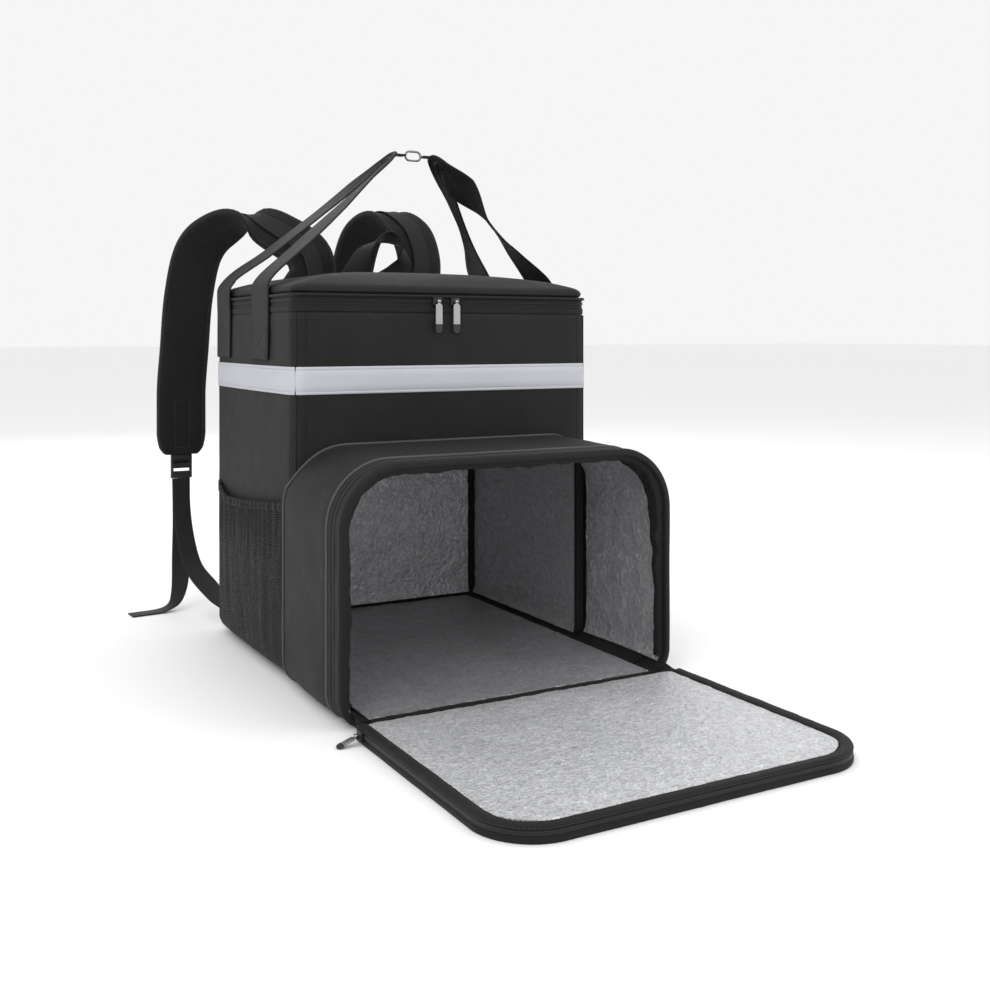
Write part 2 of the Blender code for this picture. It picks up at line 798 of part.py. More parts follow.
def build_flap(fabric, tape, foil):
    """Build the flap's padded panel, its zip band and its foil face."""
    inset = FLAP_BAND_WIDTH + GAP
    top = FLAP_THICKNESS - 0.0025
    near = FLAP_NEAR - GAP
    levels = ((0.0, 0.0), (0.0, top - 0.002), (0.002, top))
    sections = [flap_outline(inset + extra, z, near) for extra, z in levels]
    add_object("flap_panel", loft_mesh(sections), fabric)

    rim = FLAP_THICKNESS
    profile = (
        (0.0, 0.0),
        (ZIP_RECESS, rim * 0.30),
        (ZIP_RECESS, rim * 0.75),
        (0.003, rim),
    )
    outer = [flap_outline(extra, z, near) for extra, z in profile]
    inner = [flap_outline(FLAP_BAND_WIDTH, z, near) for _extra, z in profile]
    outer = [list(column) for column in zip(*outer)]
    inner = [list(column) for column in zip(*inner)]
    add_object("flap_zip_band", wall_mesh(outer, inner), tape)

    under = top + GAP
    sections = []
    for extra, z in ((0.0, under), (0.0, under + FOIL)):
        sections.append(flap_outline(inset + 0.003 + extra, z, near - 0.003))
    add_object("flap_foil", loft_mesh(sections), foil)


def build_hinge_strip(fabric):
    """Build the cloth strip that joins the flap to the compartment's floor."""
    reach = COMPARTMENT_WIDTH / 2 - FOOT_ROUNDING
    length = HINGE_STRIP_LENGTH - 2 * GAP
    profile = (
        # share of the length, share of the height
        (0.00, 0.80),
        (0.15, 1.00),
        (0.35, 0.70),
        (0.60, 0.65),
        (0.80, 0.95),
        (1.00, 1.00),
    )
    start = MOUTH - GAP
    sections = []
    for k in range(7):
        x = lerp(-reach, reach, k / 6)
        section = [Vector((x, start, 0.0))]
        for along, height in profile:
            section.append(Vector((x, start - along * length, height * HINGE_STRIP_HEIGHT)))
        section.append(Vector((x, start - length, 0.0)))
        sections.append(section)
    add_object("hinge_strip", loft_mesh(sections), fabric)


# Mesh pocket


def pocket_points(out, heights):
    """Return a grid of points on the pocket, [column][row].

    Args:
        out: distance outside the pocket's inner face.
        heights: function of the top edge's height that gives the rows.
    """
    grid = []
    for k in range(13):
        along = lerp(-1.0, 1.0, k / 12)
        top = POCKET_HEIGHT * table_value(POCKET_EDGE, along)
        column = []
        for z in heights(top):
            belly = table_value(POCKET_BELLY, z / top)
            full = POCKET_FULLNESS * belly * (1 - along ** 4)
            column.append(side_skin(-1, along * POCKET_HALF_LENGTH, z, 2 * GAP + full + out))
        grid.append(column)
    return grid


def pocket_rows(top):
    """Return the heights of the mesh's rows, close together at the foot."""
    brim = top - POCKET_BINDING - GAP
    low = [POCKET_FOOT, 0.0135, 0.018, BASE_ROUNDING]
    return low + [lerp(BASE_ROUNDING, brim, k / 4) for k in range(1, 5)]


def binding_rows(top):
    """Return the heights of the binding's two edges."""
    return [top - POCKET_BINDING, top]


def build_pocket(mesh_cloth, trim):
    """Build the mesh pocket and the binding along its top edge."""
    outer = pocket_points(POCKET_CLOTH, pocket_rows)
    inner = pocket_points(0.0, pocket_rows)
    add_object("mesh_pocket", wall_mesh(outer, inner), mesh_cloth)
    outer = pocket_points(POCKET_BINDING_THICKNESS, binding_rows)
    inner = pocket_points(0.0, binding_rows)
    add_object("pocket_binding", wall_mesh(outer, inner), trim)


# Webbing


def row_slope(before, here, after):
    """Return a slope at a row that can't overshoot its neighbours."""
    slope = []
    for low, middle, high in zip(before, here, after):
        left = middle - low
        right = high - middle
        size = 0.0
        if left * right > 0.0:
            size = min(abs(left + right) / 2, 3 * abs(left), 3 * abs(right))
        slope.append(math.copysign(size, left))
    return Vector(slope)


def smooth_rows(rows, steps):
    """Return rows of (centre, width direction, width) on a smooth curve."""
    result = []
    last = len(rows) - 1
    slopes = []
    for i in range(last + 1):
        window = (rows[max(i - 1, 0)], rows[i], rows[min(i + 1, last)])
        slopes.append([row_slope(*[row[column] for row in window]) for column in (0, 1)])
    for i in range(last):
        for k in range(steps):
            t = k / steps
            rise = t * t * (3 - 2 * t)
            leave = t * (1 - t) ** 2
            arrive = -t * t * (1 - t)
            centre, across = [
                rows[i][column].lerp(rows[i + 1][column], rise)
                + slopes[i][column] * leave + slopes[i + 1][column] * arrive
                for column in (0, 1)
            ]
            result.append((centre, across, lerp(rows[i][2], rows[i + 1][2], t)))
    result.append(rows[last])
    return result


def ribbon_frames(rows):
    """Return (centre, across, normal, width) for each row of a ribbon."""
    frames = []
    for i, (centre, across, width) in enumerate(rows):
        ahead = rows[min(i + 1, len(rows) - 1)][0] - rows[max(i - 1, 0)][0]
        tangent = ahead.normalized()
        across = (across - across.dot(tangent) * tangent).normalized()
        frames.append((centre, across, tangent.cross(across), width))
    return frames


def twisted_loft(sections):
    """Loft sections whose sides twist, with each side split into flat triangles."""
    bm = loft_mesh(sections)
    bmesh.ops.triangulate(bm, faces=bm.faces, quad_method="FIXED")
    return bm


def ribbon_mesh(rows, thickness, shift=0.0, stretch=slice(None)):
    """Return a flat ribbon along a stretch of its rows, shifted along its normal."""
    sections = []
    for centre, across, normal, width in ribbon_frames(rows)[stretch]:
        middle = centre + normal * shift
        side = across * width / 2
        face = normal * thickness / 2
        sections.append([middle - side + face, middle + side + face,
                         middle + side - face, middle - side - face])
    return twisted_loft(sections)


def pad_mesh(rows, thickness):
    """Return a padded strap with rounded edges along its rows."""
    sections = []
    for centre, across, normal, width in ribbon_frames(rows):
        half = width / 2
        thick = thickness / 2
        lip = thickness * 0.35
        tape = min(WEBBING_WIDTH, width * 0.6) / 2
        outline = ((half - lip, thick), (-half + lip, thick), (-half, 0.0), (-half + lip, -thick),
                   (-tape, -thick), (tape, -thick), (half - lip, -thick), (half, 0.0))
        sections.append([centre + across * u + normal * v for u, v in outline])
    return twisted_loft(sections)


def handle_run(sign, depth, apex, table):
    """Return a handle's rows from its foot on the side up towards the apex."""
    seat = 2 * GAP + HANDLE_THICKNESS / 2
    ahead = side_skin(sign, depth + HANDLE_WIDTH / 2, HANDLE_FOOT)
    astern = side_skin(sign, depth - HANDLE_WIDTH / 2, HANDLE_FOOT)
    width = (ahead - astern).normalized() * table[0][4]
    foot = side_skin(sign, depth, HANDLE_FOOT, seat)
    knee = side_skin(sign, depth, LID_SEAM - 0.022, seat)
    brow = Vector((sign * (HALF_WIDTH + seat + 0.0008), depth, LID_SEAM + 0.006))
    rows = [(foot, width, HANDLE_WIDTH),
            (foot.lerp(knee, 0.5), width, HANDLE_WIDTH),
            (knee, width, HANDLE_WIDTH),
            (brow, width, HANDLE_WIDTH)]
    edge = Vector((sign * (HALF_WIDTH - 0.006), depth, LID_SEAM + 0.026))
    down = Vector((sign * 0.6, 0.0, -0.8))
    for share, sag, width_share, x, y, z in table:
        centre = edge.lerp(apex, share) + down * sag * HANDLE_SAG
        rows.append((centre, Vector((x, y, z)), width_share * HANDLE_WIDTH))
    return rows


def build_handle(name, sign, apex_x, front_table, rear_table, webbing):
    """Build one carry handle, a loop of webbing from front foot to rear foot."""
    top = Vector((apex_x, HANDLE_APEX_DEPTH, HANDLE_APEX_HEIGHT))
    slope = Vector((-sign * 0.7, 0.0, 0.7))
    start = top + Vector((sign * 0.006, -0.010, -0.006))
    end = top + Vector((sign * 0.006, 0.012, -0.006))
    rows = handle_run(sign, HANDLE_FRONT, start, front_table)
    rear = handle_run(sign, HANDLE_REAR, end, rear_table)
    rows.append((start, Vector((0.0, 0.8, 0.0)) - slope * 0.5, HANDLE_TOP_WIDTH * 1.15))
    rows.append((top, -slope, HANDLE_TOP_WIDTH))
    rows.append((end, Vector((0.0, -0.8, 0.0)) - slope * 0.5, HANDLE_TOP_WIDTH * 1.15))
    rows += list(reversed(rear))
    add_object(name, ribbon_mesh(smooth_rows(rows, 2), HANDLE_THICKNESS), webbing)


def strap_rows(sign, table):
    """Return the rows of a shoulder strap from its table."""
    seat = HALF_DEPTH + GAP + STRAP_THICKNESS / 2
    centres = []
    for across, back, height, _width in table:
        x = sign * STRAP_SPREAD + across * BODY_WIDTH
        y = seat + back * STRAP_REACH
        centres.append(Vector((x, y, lerp(PAD_END, ARCH_HEIGHT, height))))
    rows = []
    for i, centre in enumerate(centres):
        ahead = centres[min(i + 1, len(centres) - 1)] - centres[max(i - 1, 0)]
        near = max(1.0 - table[i][1] / STRAP_LEAN_END, 0.0)
        lean = Vector((1.0, 0.0, -near * ahead.x / abs(ahead.z)))
        rows.append((centre, lean.normalized(), table[i][3] * STRAP_WIDTH))
    return rows


def build_strap(side, sign, table, pad_cloth, webbing, plastic):
    """Build a shoulder pad, its stitched webbing, its ladder lock and its ends."""
    rows = smooth_rows(strap_rows(sign, table), 2)
    add_object(f"shoulder_pad_{side}", pad_mesh(rows, STRAP_THICKNESS), pad_cloth)

    face = [(centre, across, WEBBING_WIDTH) for centre, across, _width in rows]
    shift = -(STRAP_THICKNESS / 2 + 5 * GAP + WEBBING_THICKNESS / 2)
    sewn = ribbon_mesh(face, WEBBING_THICKNESS, shift, slice(5, -2))
    add_object(f"pad_webbing_{side}", sewn, webbing)

    end = rows[-1][0]
    top = PAD_END - GAP
    low = Vector((end.x - LOCK_WIDTH / 2, end.y - LOCK_THICKNESS / 2, top - LOCK_HEIGHT))
    high = Vector((end.x + LOCK_WIDTH / 2, end.y + LOCK_THICKNESS / 2, top))
    lock = add_object(f"ladder_lock_{side}", box_mesh(low, high), plastic, smooth=False)
    for level in (0.22, 0.56):
        z = top - level * LOCK_HEIGHT
        inset = LOCK_SLOT * 0.7
        slot_low = (low.x + inset, low.y - 0.01, z - LOCK_SLOT)
        slot_high = (high.x - inset, high.y + 0.01, z)
        slot = add_object("slot", box_mesh(slot_low, slot_high), plastic, smooth=False)
        combine(lock, slot, "DIFFERENCE")

    start = Vector((end.x, end.y, low.z - 2 * GAP))
    bend, goal_inset = LOWER_END[side]
    corner = Vector((sign * (HALF_WIDTH - bend), HALF_DEPTH + 0.010, LOWER_ANCHOR + 0.003))
    seat = HALF_DEPTH + GAP + WEBBING_THICKNESS / 2
    goal = Vector((sign * (HALF_WIDTH - goal_inset), seat, LOWER_ANCHOR))
    run = []
    for way, height, x, y, z in LOWER_RUN:
        centre = start.lerp(corner, way)
        centre.z = lerp(corner.z, start.z, height)
        run.append((centre, Vector((x, y, z)), WEBBING_WIDTH))
    flat = Vector((0.0, 0.0, 1.0))
    run.append((corner, Vector((0.15, 0.0, 0.95)), WEBBING_WIDTH))
    run.append((goal + Vector((-0.007, 0.0014, 0.0)), flat, WEBBING_WIDTH))
    run.append((goal, flat, WEBBING_WIDTH))
    add_object(f"lower_webbing_{side}", ribbon_mesh(smooth_rows(run, 3), WEBBING_THICKNESS), webbing)
    return start


def build_tail(side, start, table, webbing):
    """Build the loose tail that hangs from the ladder lock to the floor."""
    behind = start.y + WEBBING_THICKNESS + 5 * GAP
    lie = WEBBING_THICKNESS / 2 + GAP
    rows = []
    for across, back, height, x, y in table:
        centre = Vector((start.x + across * TAIL_LENGTH, behind + back * TAIL_LENGTH,
                         lie + height * (start.z - lie)))
        rows.append((centre, Vector((x, y, 0.0)), WEBBING_WIDTH))
    add_object(f"webbing_tail_{side}", ribbon_mesh(smooth_rows(rows, 3), WEBBING_THICKNESS), webbing)


def build_grab_handle(webbing):
    """Build the small grab loop at the top of the back panel."""
    seat = HALF_DEPTH + GAP + HANDLE_THICKNESS / 2
    rows = []
    for across, height, x, y, z in GRAB_LOOP:
        level = GRAB_FOOT if height is None else lerp(LID_SEAM + 0.002, GRAB_HEIGHT, height)
        back = 0.0 if not height else 4 * GAP
        centre = Vector((across * GRAB_SPREAD, seat + GAP + back, level))
        rows.append((centre, Vector((x, y, z)), GRAB_WIDTH))
    add_object("grab_handle", ribbon_mesh(smooth_rows(rows, 3), HANDLE_THICKNESS), webbing)


# Clasp between the carry handles


def build_clasp(metal, webbing):
    """Build the clasp ring, its sprung gate and the two keepers."""
    centre = Vector((CLASP_CENTRE, HANDLE_APEX_DEPTH, CLASP_HEIGHT))
    radius = CLASP_HALF_HEIGHT
    straight = CLASP_HALF_LENGTH - CLASP_HALF_HEIGHT
    path = [Vector((-straight - 0.0004, 0.0, -radius))]
    for k in range(1, 7):
        angle = math.radians(270 - 180 * k / 6)
        path.append(Vector((-straight + radius * math.cos(angle), 0.0, radius * math.sin(angle))))
    for k in range(7):
        angle = math.radians(90 - 180 * k / 6)
        path.append(Vector((straight + radius * math.cos(angle), 0.0, radius * math.sin(angle))))
    path = [centre + p for p in path]
    add_object("clasp_ring", loft_mesh(tube_sections(path, CLASP_WIRE, 6)), metal)

    pivot = centre + Vector((-straight + 0.0012, 0.0, -radius))
    start = pivot + Vector((-0.0006, 0.0, 0.0))
    end = centre + Vector((straight - 0.0004, 0.0, -radius))
    gate = loft_mesh(tube_sections([start, start.lerp(end, 0.5), end], GATE_WIRE, 6))
    add_object("clasp_gate", gate, metal, origin=pivot)

    reach = CLASP_HALF_LENGTH + CLASP_WIRE + GAP
    seats = (
        ("clasp_keeper_left", LEFT_APEX + KEEPER_SEAT, CLASP_CENTRE - reach),
        ("clasp_keeper_right", CLASP_CENTRE + reach, RIGHT_APEX - KEEPER_SEAT),
    )
    for name, near, far in seats:
        rows = []
        for k in range(4):
            x = lerp(near, far, k / 3)
            rows.append((Vector((x, HANDLE_APEX_DEPTH, CLASP_HEIGHT)), Vector((0.0, 1.0, 0.0)), KEEPER_WIDTH))
        add_object(name, ribbon_mesh(rows, KEEPER_THICKNESS), webbing)


# Zip sliders and pulls


def build_slider(name, place, metal):
    """Build a slider with two ears and the pin that its pull turns on.

    Args:
        place: matrix whose -Y points away from the tape and whose origin is
            on the tape; the hinge pin runs along its X axis.
    """
    back = -GAP
    front = back - SLIDER_THICKNESS
    pin_y = front - KNUCKLE_RADIUS - GAP
    half = SLIDER_LENGTH / 2
    body = box_mesh((-half, front, -SLIDER_HEIGHT / 2), (half, back, SLIDER_HEIGHT / 2))
    bmesh.ops.bevel(body, geom=list(body.edges), offset=0.0008, segments=1, affect="EDGES")
    item = add_object(name, body, metal, smooth=False)
    gap = KNUCKLE_LENGTH / 2 + GAP
    for sign in (-1, 1):
        near, far = sorted((sign * gap, sign * (gap + EAR_THICKNESS)))
        low = (near, pin_y - PIN_RADIUS - 0.0006, -0.0016)
        high = (far, front + 0.0005, 0.0016)
        combine(item, add_object("ear", box_mesh(low, high), metal, smooth=False), "UNION")
    ends = [Vector((sign * (gap + EAR_THICKNESS / 2), pin_y, 0.0)) for sign in (-1, 1)]
    pin = add_object("pin", loft_mesh(tube_sections(ends, PIN_RADIUS, 6)), metal, smooth=False)
    combine(item, pin, "UNION")
    item.data.transform(place)
    return place @ Vector((0.0, pin_y, 0.0))


def build_pull(name, pivot, place, length, metal):
    """Build a pull tab with a knuckle that turns on the slider's pin."""
    half = KNUCKLE_LENGTH / 2
    ends = [Vector((-half, 0.0, 0.0)), Vector((half, 0.0, 0.0))]
    item = add_object(name, loft_mesh(tube_sections(ends, KNUCKLE_RADIUS, 10)), metal, smooth=False)
    thick = PULL_THICKNESS / 2
    neck = KNUCKLE_RADIUS + 2 * GAP
    ring = [(half * 0.9, -PIN_RADIUS), (half * 0.9, -neck)]
    outline = (
        # share of the width, share of the length
        (0.50, 0.86),
        (0.40, 0.96),
        (0.22, 1.00),
    )
    ring.append((PULL_WIDTH / 2, -neck - 0.002))
    ring += [(w * PULL_WIDTH, -h * length) for w, h in outline]
    ring += [(-x, z) for x, z in reversed(ring)]
    sections = [[Vector((x, y, z)) for x, z in ring] for y in (-thick, thick)]
    plate = add_object("plate", loft_mesh(sections), metal, smooth=False)
    combine(item, plate, "UNION")
    bore_ends = [Vector((-half * 2, 0.0, 0.0)), Vector((half * 2, 0.0, 0.0))]
    bore = loft_mesh(tube_sections(bore_ends, PIN_RADIUS + GAP, 8))
    combine(item, add_object("bore", bore, metal, smooth=False), "DIFFERENCE")
    item.data.transform(place)
    item.location = pivot


def build_zips(metal, dark_metal):
    """Build the two sliders on the lid's zip and the one on the flap."""
    for side, x in (("left", LEFT_SLIDER), ("right", RIGHT_SLIDER)):
        swell = FRONT_BULGE * (1 - (x / (HALF_WIDTH - CORNER_RADIUS)) ** 2)
        fullness = math.sin(math.pi * ZIP_LINE / LID_SEAM)
        face = -HALF_DEPTH - swell * fullness + ZIP_RECESS
        place = Matrix.Translation((x, face, ZIP_LINE))
        pivot = build_slider(f"zip_slider_{side}", place, dark_metal)
        build_pull(f"zip_pull_{side}", pivot, Matrix.Identity(4), PULL_LENGTH, metal)
    face = -FLAP_WIDTH / 2 + ZIP_RECESS
    seat = Vector((face, FLAP_NEAR - FLAP_SLIDER_SETBACK, FLAP_THICKNESS * 0.58))
    turn = Matrix.Rotation(math.radians(-90), 4, "Z")
    place = Matrix.Translation(seat) @ turn
    pivot = build_slider("flap_slider", place, dark_metal)
    drop = pivot.z - PULL_THICKNESS / 2 - GAP
    droop = math.asin(drop / FLAP_PULL_LENGTH)
    lift = Matrix.Rotation(droop - math.pi / 2, 4, "X")
    build_pull("flap_pull", pivot, turn @ lift, FLAP_PULL_LENGTH, metal)


def main():
    """Build every piece of the backpack."""
    clear_scene()
    oxford = make_material("black_oxford", (0.035, 0.035, 0.038), 0.82)
    tape = make_material("zip_tape", (0.018, 0.018, 0.020), 0.75)
    webbing = make_material("webbing", (0.028, 0.028, 0.030), 0.78)
    pad_cloth = make_material("pad_mesh", (0.020, 0.020, 0.022), 0.9)
    pocket_cloth = make_material("pocket_mesh", (0.022, 0.022, 0.024), 0.85)
    trim = make_material("piping", (0.09, 0.09, 0.095), 0.6)
    reflective = make_material("reflective_tape", (0.55, 0.57, 0.62), 0.35)
    foil = make_material("foil", (0.72, 0.73, 0.75), 0.3, 0.6)
    metal = make_material("nickel", (0.6, 0.6, 0.62), 0.3, 1.0)
    dark_metal = make_material("black_metal", (0.03, 0.03, 0.03), 0.4, 0.8)
    plastic = make_material("black_plastic", (0.02, 0.02, 0.02), 0.45)

    build_base(oxford)
    build_side("left_side_panel", -1, oxford)
    build_side("right_side_panel", 1, oxford)
    build_front(oxford)
    build_back(oxford)
    build_zip_band(tape)
    build_lid(oxford)
    build_reflective_band(reflective)

    build_gusset(oxford)
    build_mouth_band(tape)
    build_compartment_base(oxford)
    build_piping("seam_piping", 0.0, True, trim)
    build_piping("mouth_piping", GUSSET_FRONT - PIPING_GROOVE / 2, False, trim)
    build_foil(foil)

    build_flap(oxford, tape, foil)
    build_hinge_strip(oxford)
    build_pocket(pocket_cloth, trim)

    build_handle("carry_handle_left", -1, LEFT_APEX, LEFT_FRONT_RUN, LEFT_REAR_RUN, webbing)
    build_handle("carry_handle_right", 1, RIGHT_APEX, RIGHT_FRONT_RUN, RIGHT_REAR_RUN, webbing)
    build_clasp(metal, webbing)
    build_grab_handle(webbing)
    start = build_strap("left", -1, LEFT_STRAP, pad_cloth, webbing, plastic)
    build_tail("left", start, LEFT_TAIL, webbing)
    start = build_strap("right", 1, RIGHT_STRAP, pad_cloth, webbing, plastic)
    build_tail("right", start, RIGHT_TAIL, webbing)
    build_zips(metal, dark_metal)


main()
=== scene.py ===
"""Insulated delivery backpack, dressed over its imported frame.

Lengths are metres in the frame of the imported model: +Z is up, the open
compartment faces -Y and the wearer's side +Y.
"""

import logging
import math
from dataclasses import dataclass, field
from enum import Enum
from typing import Callable, Sequence

import bmesh
import bpy
from bpy.types import Material, Node, NodeSocket, NodeTree, Object
from mathutils import Matrix, Vector, noise


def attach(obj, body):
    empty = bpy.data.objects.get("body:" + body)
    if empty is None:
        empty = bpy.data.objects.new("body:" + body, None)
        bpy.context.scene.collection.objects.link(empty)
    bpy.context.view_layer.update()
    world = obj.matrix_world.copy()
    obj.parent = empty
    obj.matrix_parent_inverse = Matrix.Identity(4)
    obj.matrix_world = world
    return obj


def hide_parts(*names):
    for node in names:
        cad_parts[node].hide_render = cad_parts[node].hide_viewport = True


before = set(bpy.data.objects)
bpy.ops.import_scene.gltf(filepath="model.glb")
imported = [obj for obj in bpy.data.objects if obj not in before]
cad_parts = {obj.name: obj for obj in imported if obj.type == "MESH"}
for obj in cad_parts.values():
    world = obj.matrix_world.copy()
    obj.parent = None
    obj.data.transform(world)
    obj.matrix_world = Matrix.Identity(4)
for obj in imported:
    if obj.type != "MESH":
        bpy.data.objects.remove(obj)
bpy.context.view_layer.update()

LOG = logging.getLogger("backpack")
UV_NAME = "cloth"
GAP = 0.0003
UP = Vector((0.0, 0.0, 1.0))
PUFF_FRAMES = 20

Colour = tuple[float, float, float]
Grid = list[list[Vector]]
Row = tuple[Vector, Vector, float]
Line = list[tuple[Vector, Vector]]


def lerp(start: float, end: float, share: float) -> float:
    """Return the value a share of the way from start to end."""
    return start + (end - start) * share


def fade(value: float, low: float, high: float) -> float:
    """Return 0 below low, 1 above high and a smooth step between."""
    share = min(max((value - low) / (high - low), 0.0), 1.0)
    return share * share * (3 - 2 * share)


def table_value(table: Sequence[tuple[float, float]], position: float) -> float:
    """Read a two-column table at a position between its rows."""
    if position <= table[0][0]:
        return table[0][1]
    for low, high in zip(table, table[1:]):
        if position <= high[0]:
            return lerp(low[1], high[1], (position - low[0]) / (high[0] - low[0]))
    return table[-1][1]


def spread(low: float, high: float, count: int) -> list[float]:
    """Return values from low to high in a count of even steps."""
    return [lerp(low, high, k / count) for k in range(count + 1)]


def grids(columns: Sequence, rows: Sequence, pair: Callable) -> tuple[Grid, Grid]:
    """Return the outer and inner grid of a function that gives both points at a column and a row."""
    pairs = [[pair(column, row) for row in rows] for column in columns]
    return [[both[0] for both in line] for line in pairs], [[both[1] for both in line] for line in pairs]


# Materials


class Graph:
    """Lays nodes in one node tree."""

    def __init__(self, tree: NodeTree) -> None:
        """Keep the tree that the nodes go into."""
        self.tree = tree

    def wire(self, node: Node, inputs: dict) -> None:
        """Link a source socket or set a value for each named or numbered input."""
        for key, value in inputs.items():
            if isinstance(value, NodeSocket):
                self.tree.links.new(value, node.inputs[key])
            else:
                node.inputs[key].default_value = value

    def node(self, kind: str, inputs: dict | None = None, **settings) -> Node:
        """Add a node.

        Args:
            kind: Blender's type name of the node.
            inputs: value or source socket for each named or numbered input.
            settings: properties of the node itself.

        Returns:
            The new node.
        """
        node = self.tree.nodes.new(kind)
        for key, value in settings.items():
            setattr(node, key, value)
        self.wire(node, inputs or {})
        return node

    def math(self, operation: str, first, second=0.0, third=0.0) -> NodeSocket:
        """Add a Math node and return its result."""
        return self.node("ShaderNodeMath", {0: first, 1: second, 2: third}, operation=operation).outputs[0]

    def ramp(self, value, low: float, high: float, to_low=0.0, to_high=1.0) -> NodeSocket:
        """Map a range of a value to another range, clamped."""
        inputs = {"Value": value, "From Min": low, "From Max": high, "To Min": to_low, "To Max": to_high}
        return self.node("ShaderNodeMapRange", inputs).outputs[0]

    def mix(self, share, first, second) -> NodeSocket:
        """Blend two colours by a share."""
        return self.node("ShaderNodeMix", {0: share, 6: first, 7: second}, data_type="RGBA").outputs[2]

    def noise(self, place, scale, detail: float, roughness: float = 0.5) -> Node:
        """Add a noise texture over coordinates."""
        inputs = {"Vector": place, "Scale": scale, "Detail": detail, "Roughness": roughness}
        return self.node("ShaderNodeTexNoise", inputs)

    def bump(self, strength: float, depth: float, height) -> NodeSocket:
        """Add a bump of a depth and return its normals."""
        return self.node("ShaderNodeBump", {"Strength": strength, "Distance": depth, "Height": height}).outputs[0]

    def group(self, tree: NodeTree, inputs: dict):
        """Add a group and return its outputs."""
        return self.node("ShaderNodeGroup", inputs, node_tree=tree).outputs


def shader_group(name: str, inputs: dict[str, float | None], outputs: Sequence[str]) -> tuple:
    """Start a shader node group.

    Args:
        name: name of the group.
        inputs: default value for each input's name, None for coordinates.
        outputs: names of its outputs.

    Returns:
        The group's Graph, the outputs of its input node and its output node.
    """
    tree = bpy.data.node_groups.new(name, "ShaderNodeTree")
    for key, value in inputs.items():
        kind = "NodeSocketVector" if value is None else "NodeSocketFloat"
        socket = tree.interface.new_socket(key, in_out="INPUT", socket_type=kind)
        if value is not None:
            socket.default_value = value
    for key in outputs:
        tree.interface.new_socket(key, in_out="OUTPUT", socket_type="NodeSocketFloat")
    graph = Graph(tree)
    return graph, graph.node("NodeGroupInput").outputs, graph.node("NodeGroupOutput")


class Effects:
    """Shader groups that several finishes share, each built once."""

    def __init__(self) -> None:
        """Build the groups."""
        self.weave = self._weave()
        self.mottle = self._mottle()
        self.crumple = self._crumple()

    def _weave(self) -> NodeTree:
        """Build crossing threads over cloth coordinates."""
        inputs = {"Coordinates": None, "Pitch": 0.001, "Stretch": 1.0}
        g, given, result = shader_group("woven_threads", inputs, ["Height"])
        parts = g.node("ShaderNodeSeparateXYZ", {0: given["Coordinates"]}).outputs
        turn = g.math("DIVIDE", math.pi, given["Pitch"])
        along = g.math("SINE", g.math("MULTIPLY", parts[0], turn))
        across = g.math("SINE", g.math("DIVIDE", g.math("MULTIPLY", parts[1], turn), given["Stretch"]))
        over = g.math("GREATER_THAN", g.math("MULTIPLY", along, across), 0.0)
        warp, weft = [g.math("POWER", g.math("ABSOLUTE", wave), 0.6) for wave in (along, across)]
        drop = g.math("MULTIPLY", weft, g.math("SUBTRACT", 1.0, over))
        g.wire(result, {"Height": g.math("ADD", g.math("MULTIPLY", warp, over), drop)})
        return g.tree

    def _mottle(self) -> NodeTree:
        """Build soft shade changes, rubbed patches and specks of dust."""
        looks = (("Shade", 1.0, 5.0, 0.5, 0.3, 0.7), ("Rub", 3.3, 6.0, 0.7, 0.55, 0.75),
                 ("Dust", 70.0, 2.0, 0.5, 0.66, 0.74))
        names = [look[0] for look in looks]
        g, given, result = shader_group("mottle_and_dust", {"Coordinates": None, "Scale": 12.0}, names)
        for key, finer, detail, roughness, low, high in looks:
            scale = g.math("MULTIPLY", given["Scale"], finer)
            spots = g.noise(given["Coordinates"], scale, detail, roughness)
            g.wire(result, {key: g.ramp(spots.outputs[0], low, high)})
        return g.tree

    def _crumple(self) -> NodeTree:
        """Build the facets and sharp creases of crinkled foil."""
        inputs = {"Coordinates": None, "Scale": 60.0}
        g, given, result = shader_group("crumpled_foil", inputs, ["Height", "Facet"])
        warp = g.noise(given["Coordinates"], 60.0, 3.0).outputs["Color"]
        shift = g.node("ShaderNodeVectorMath", {0: warp, "Scale": 0.012}, operation="SCALE").outputs[0]
        place = g.node("ShaderNodeVectorMath", {0: given["Coordinates"], 1: shift}).outputs[0]
        coarse, fine = [
            g.node("ShaderNodeTexVoronoi", {"Vector": place, "Scale": g.math("MULTIPLY", given["Scale"], finer)})
            for finer in (1.0, 2.7)
        ]
        ridge = g.noise(place, given["Scale"], 5.0, 0.65).outputs[0]
        crest = g.math("ABSOLUTE", g.math("SUBTRACT", ridge, 0.5))
        low = g.math("MULTIPLY_ADD", fine.outputs["Distance"], 0.4, coarse.outputs["Distance"])
        broad, tone = [g.node("ShaderNodeSeparateColor", {0: cells.outputs["Color"]}).outputs[0]
                       for cells in (coarse, fine)]
        facet = g.math("MULTIPLY_ADD", broad, 0.35, g.math("MULTIPLY", tone, 0.65))
        g.wire(result, {"Height": g.math("MULTIPLY_ADD", crest, 2.2, low), "Facet": facet})
        return g.tree


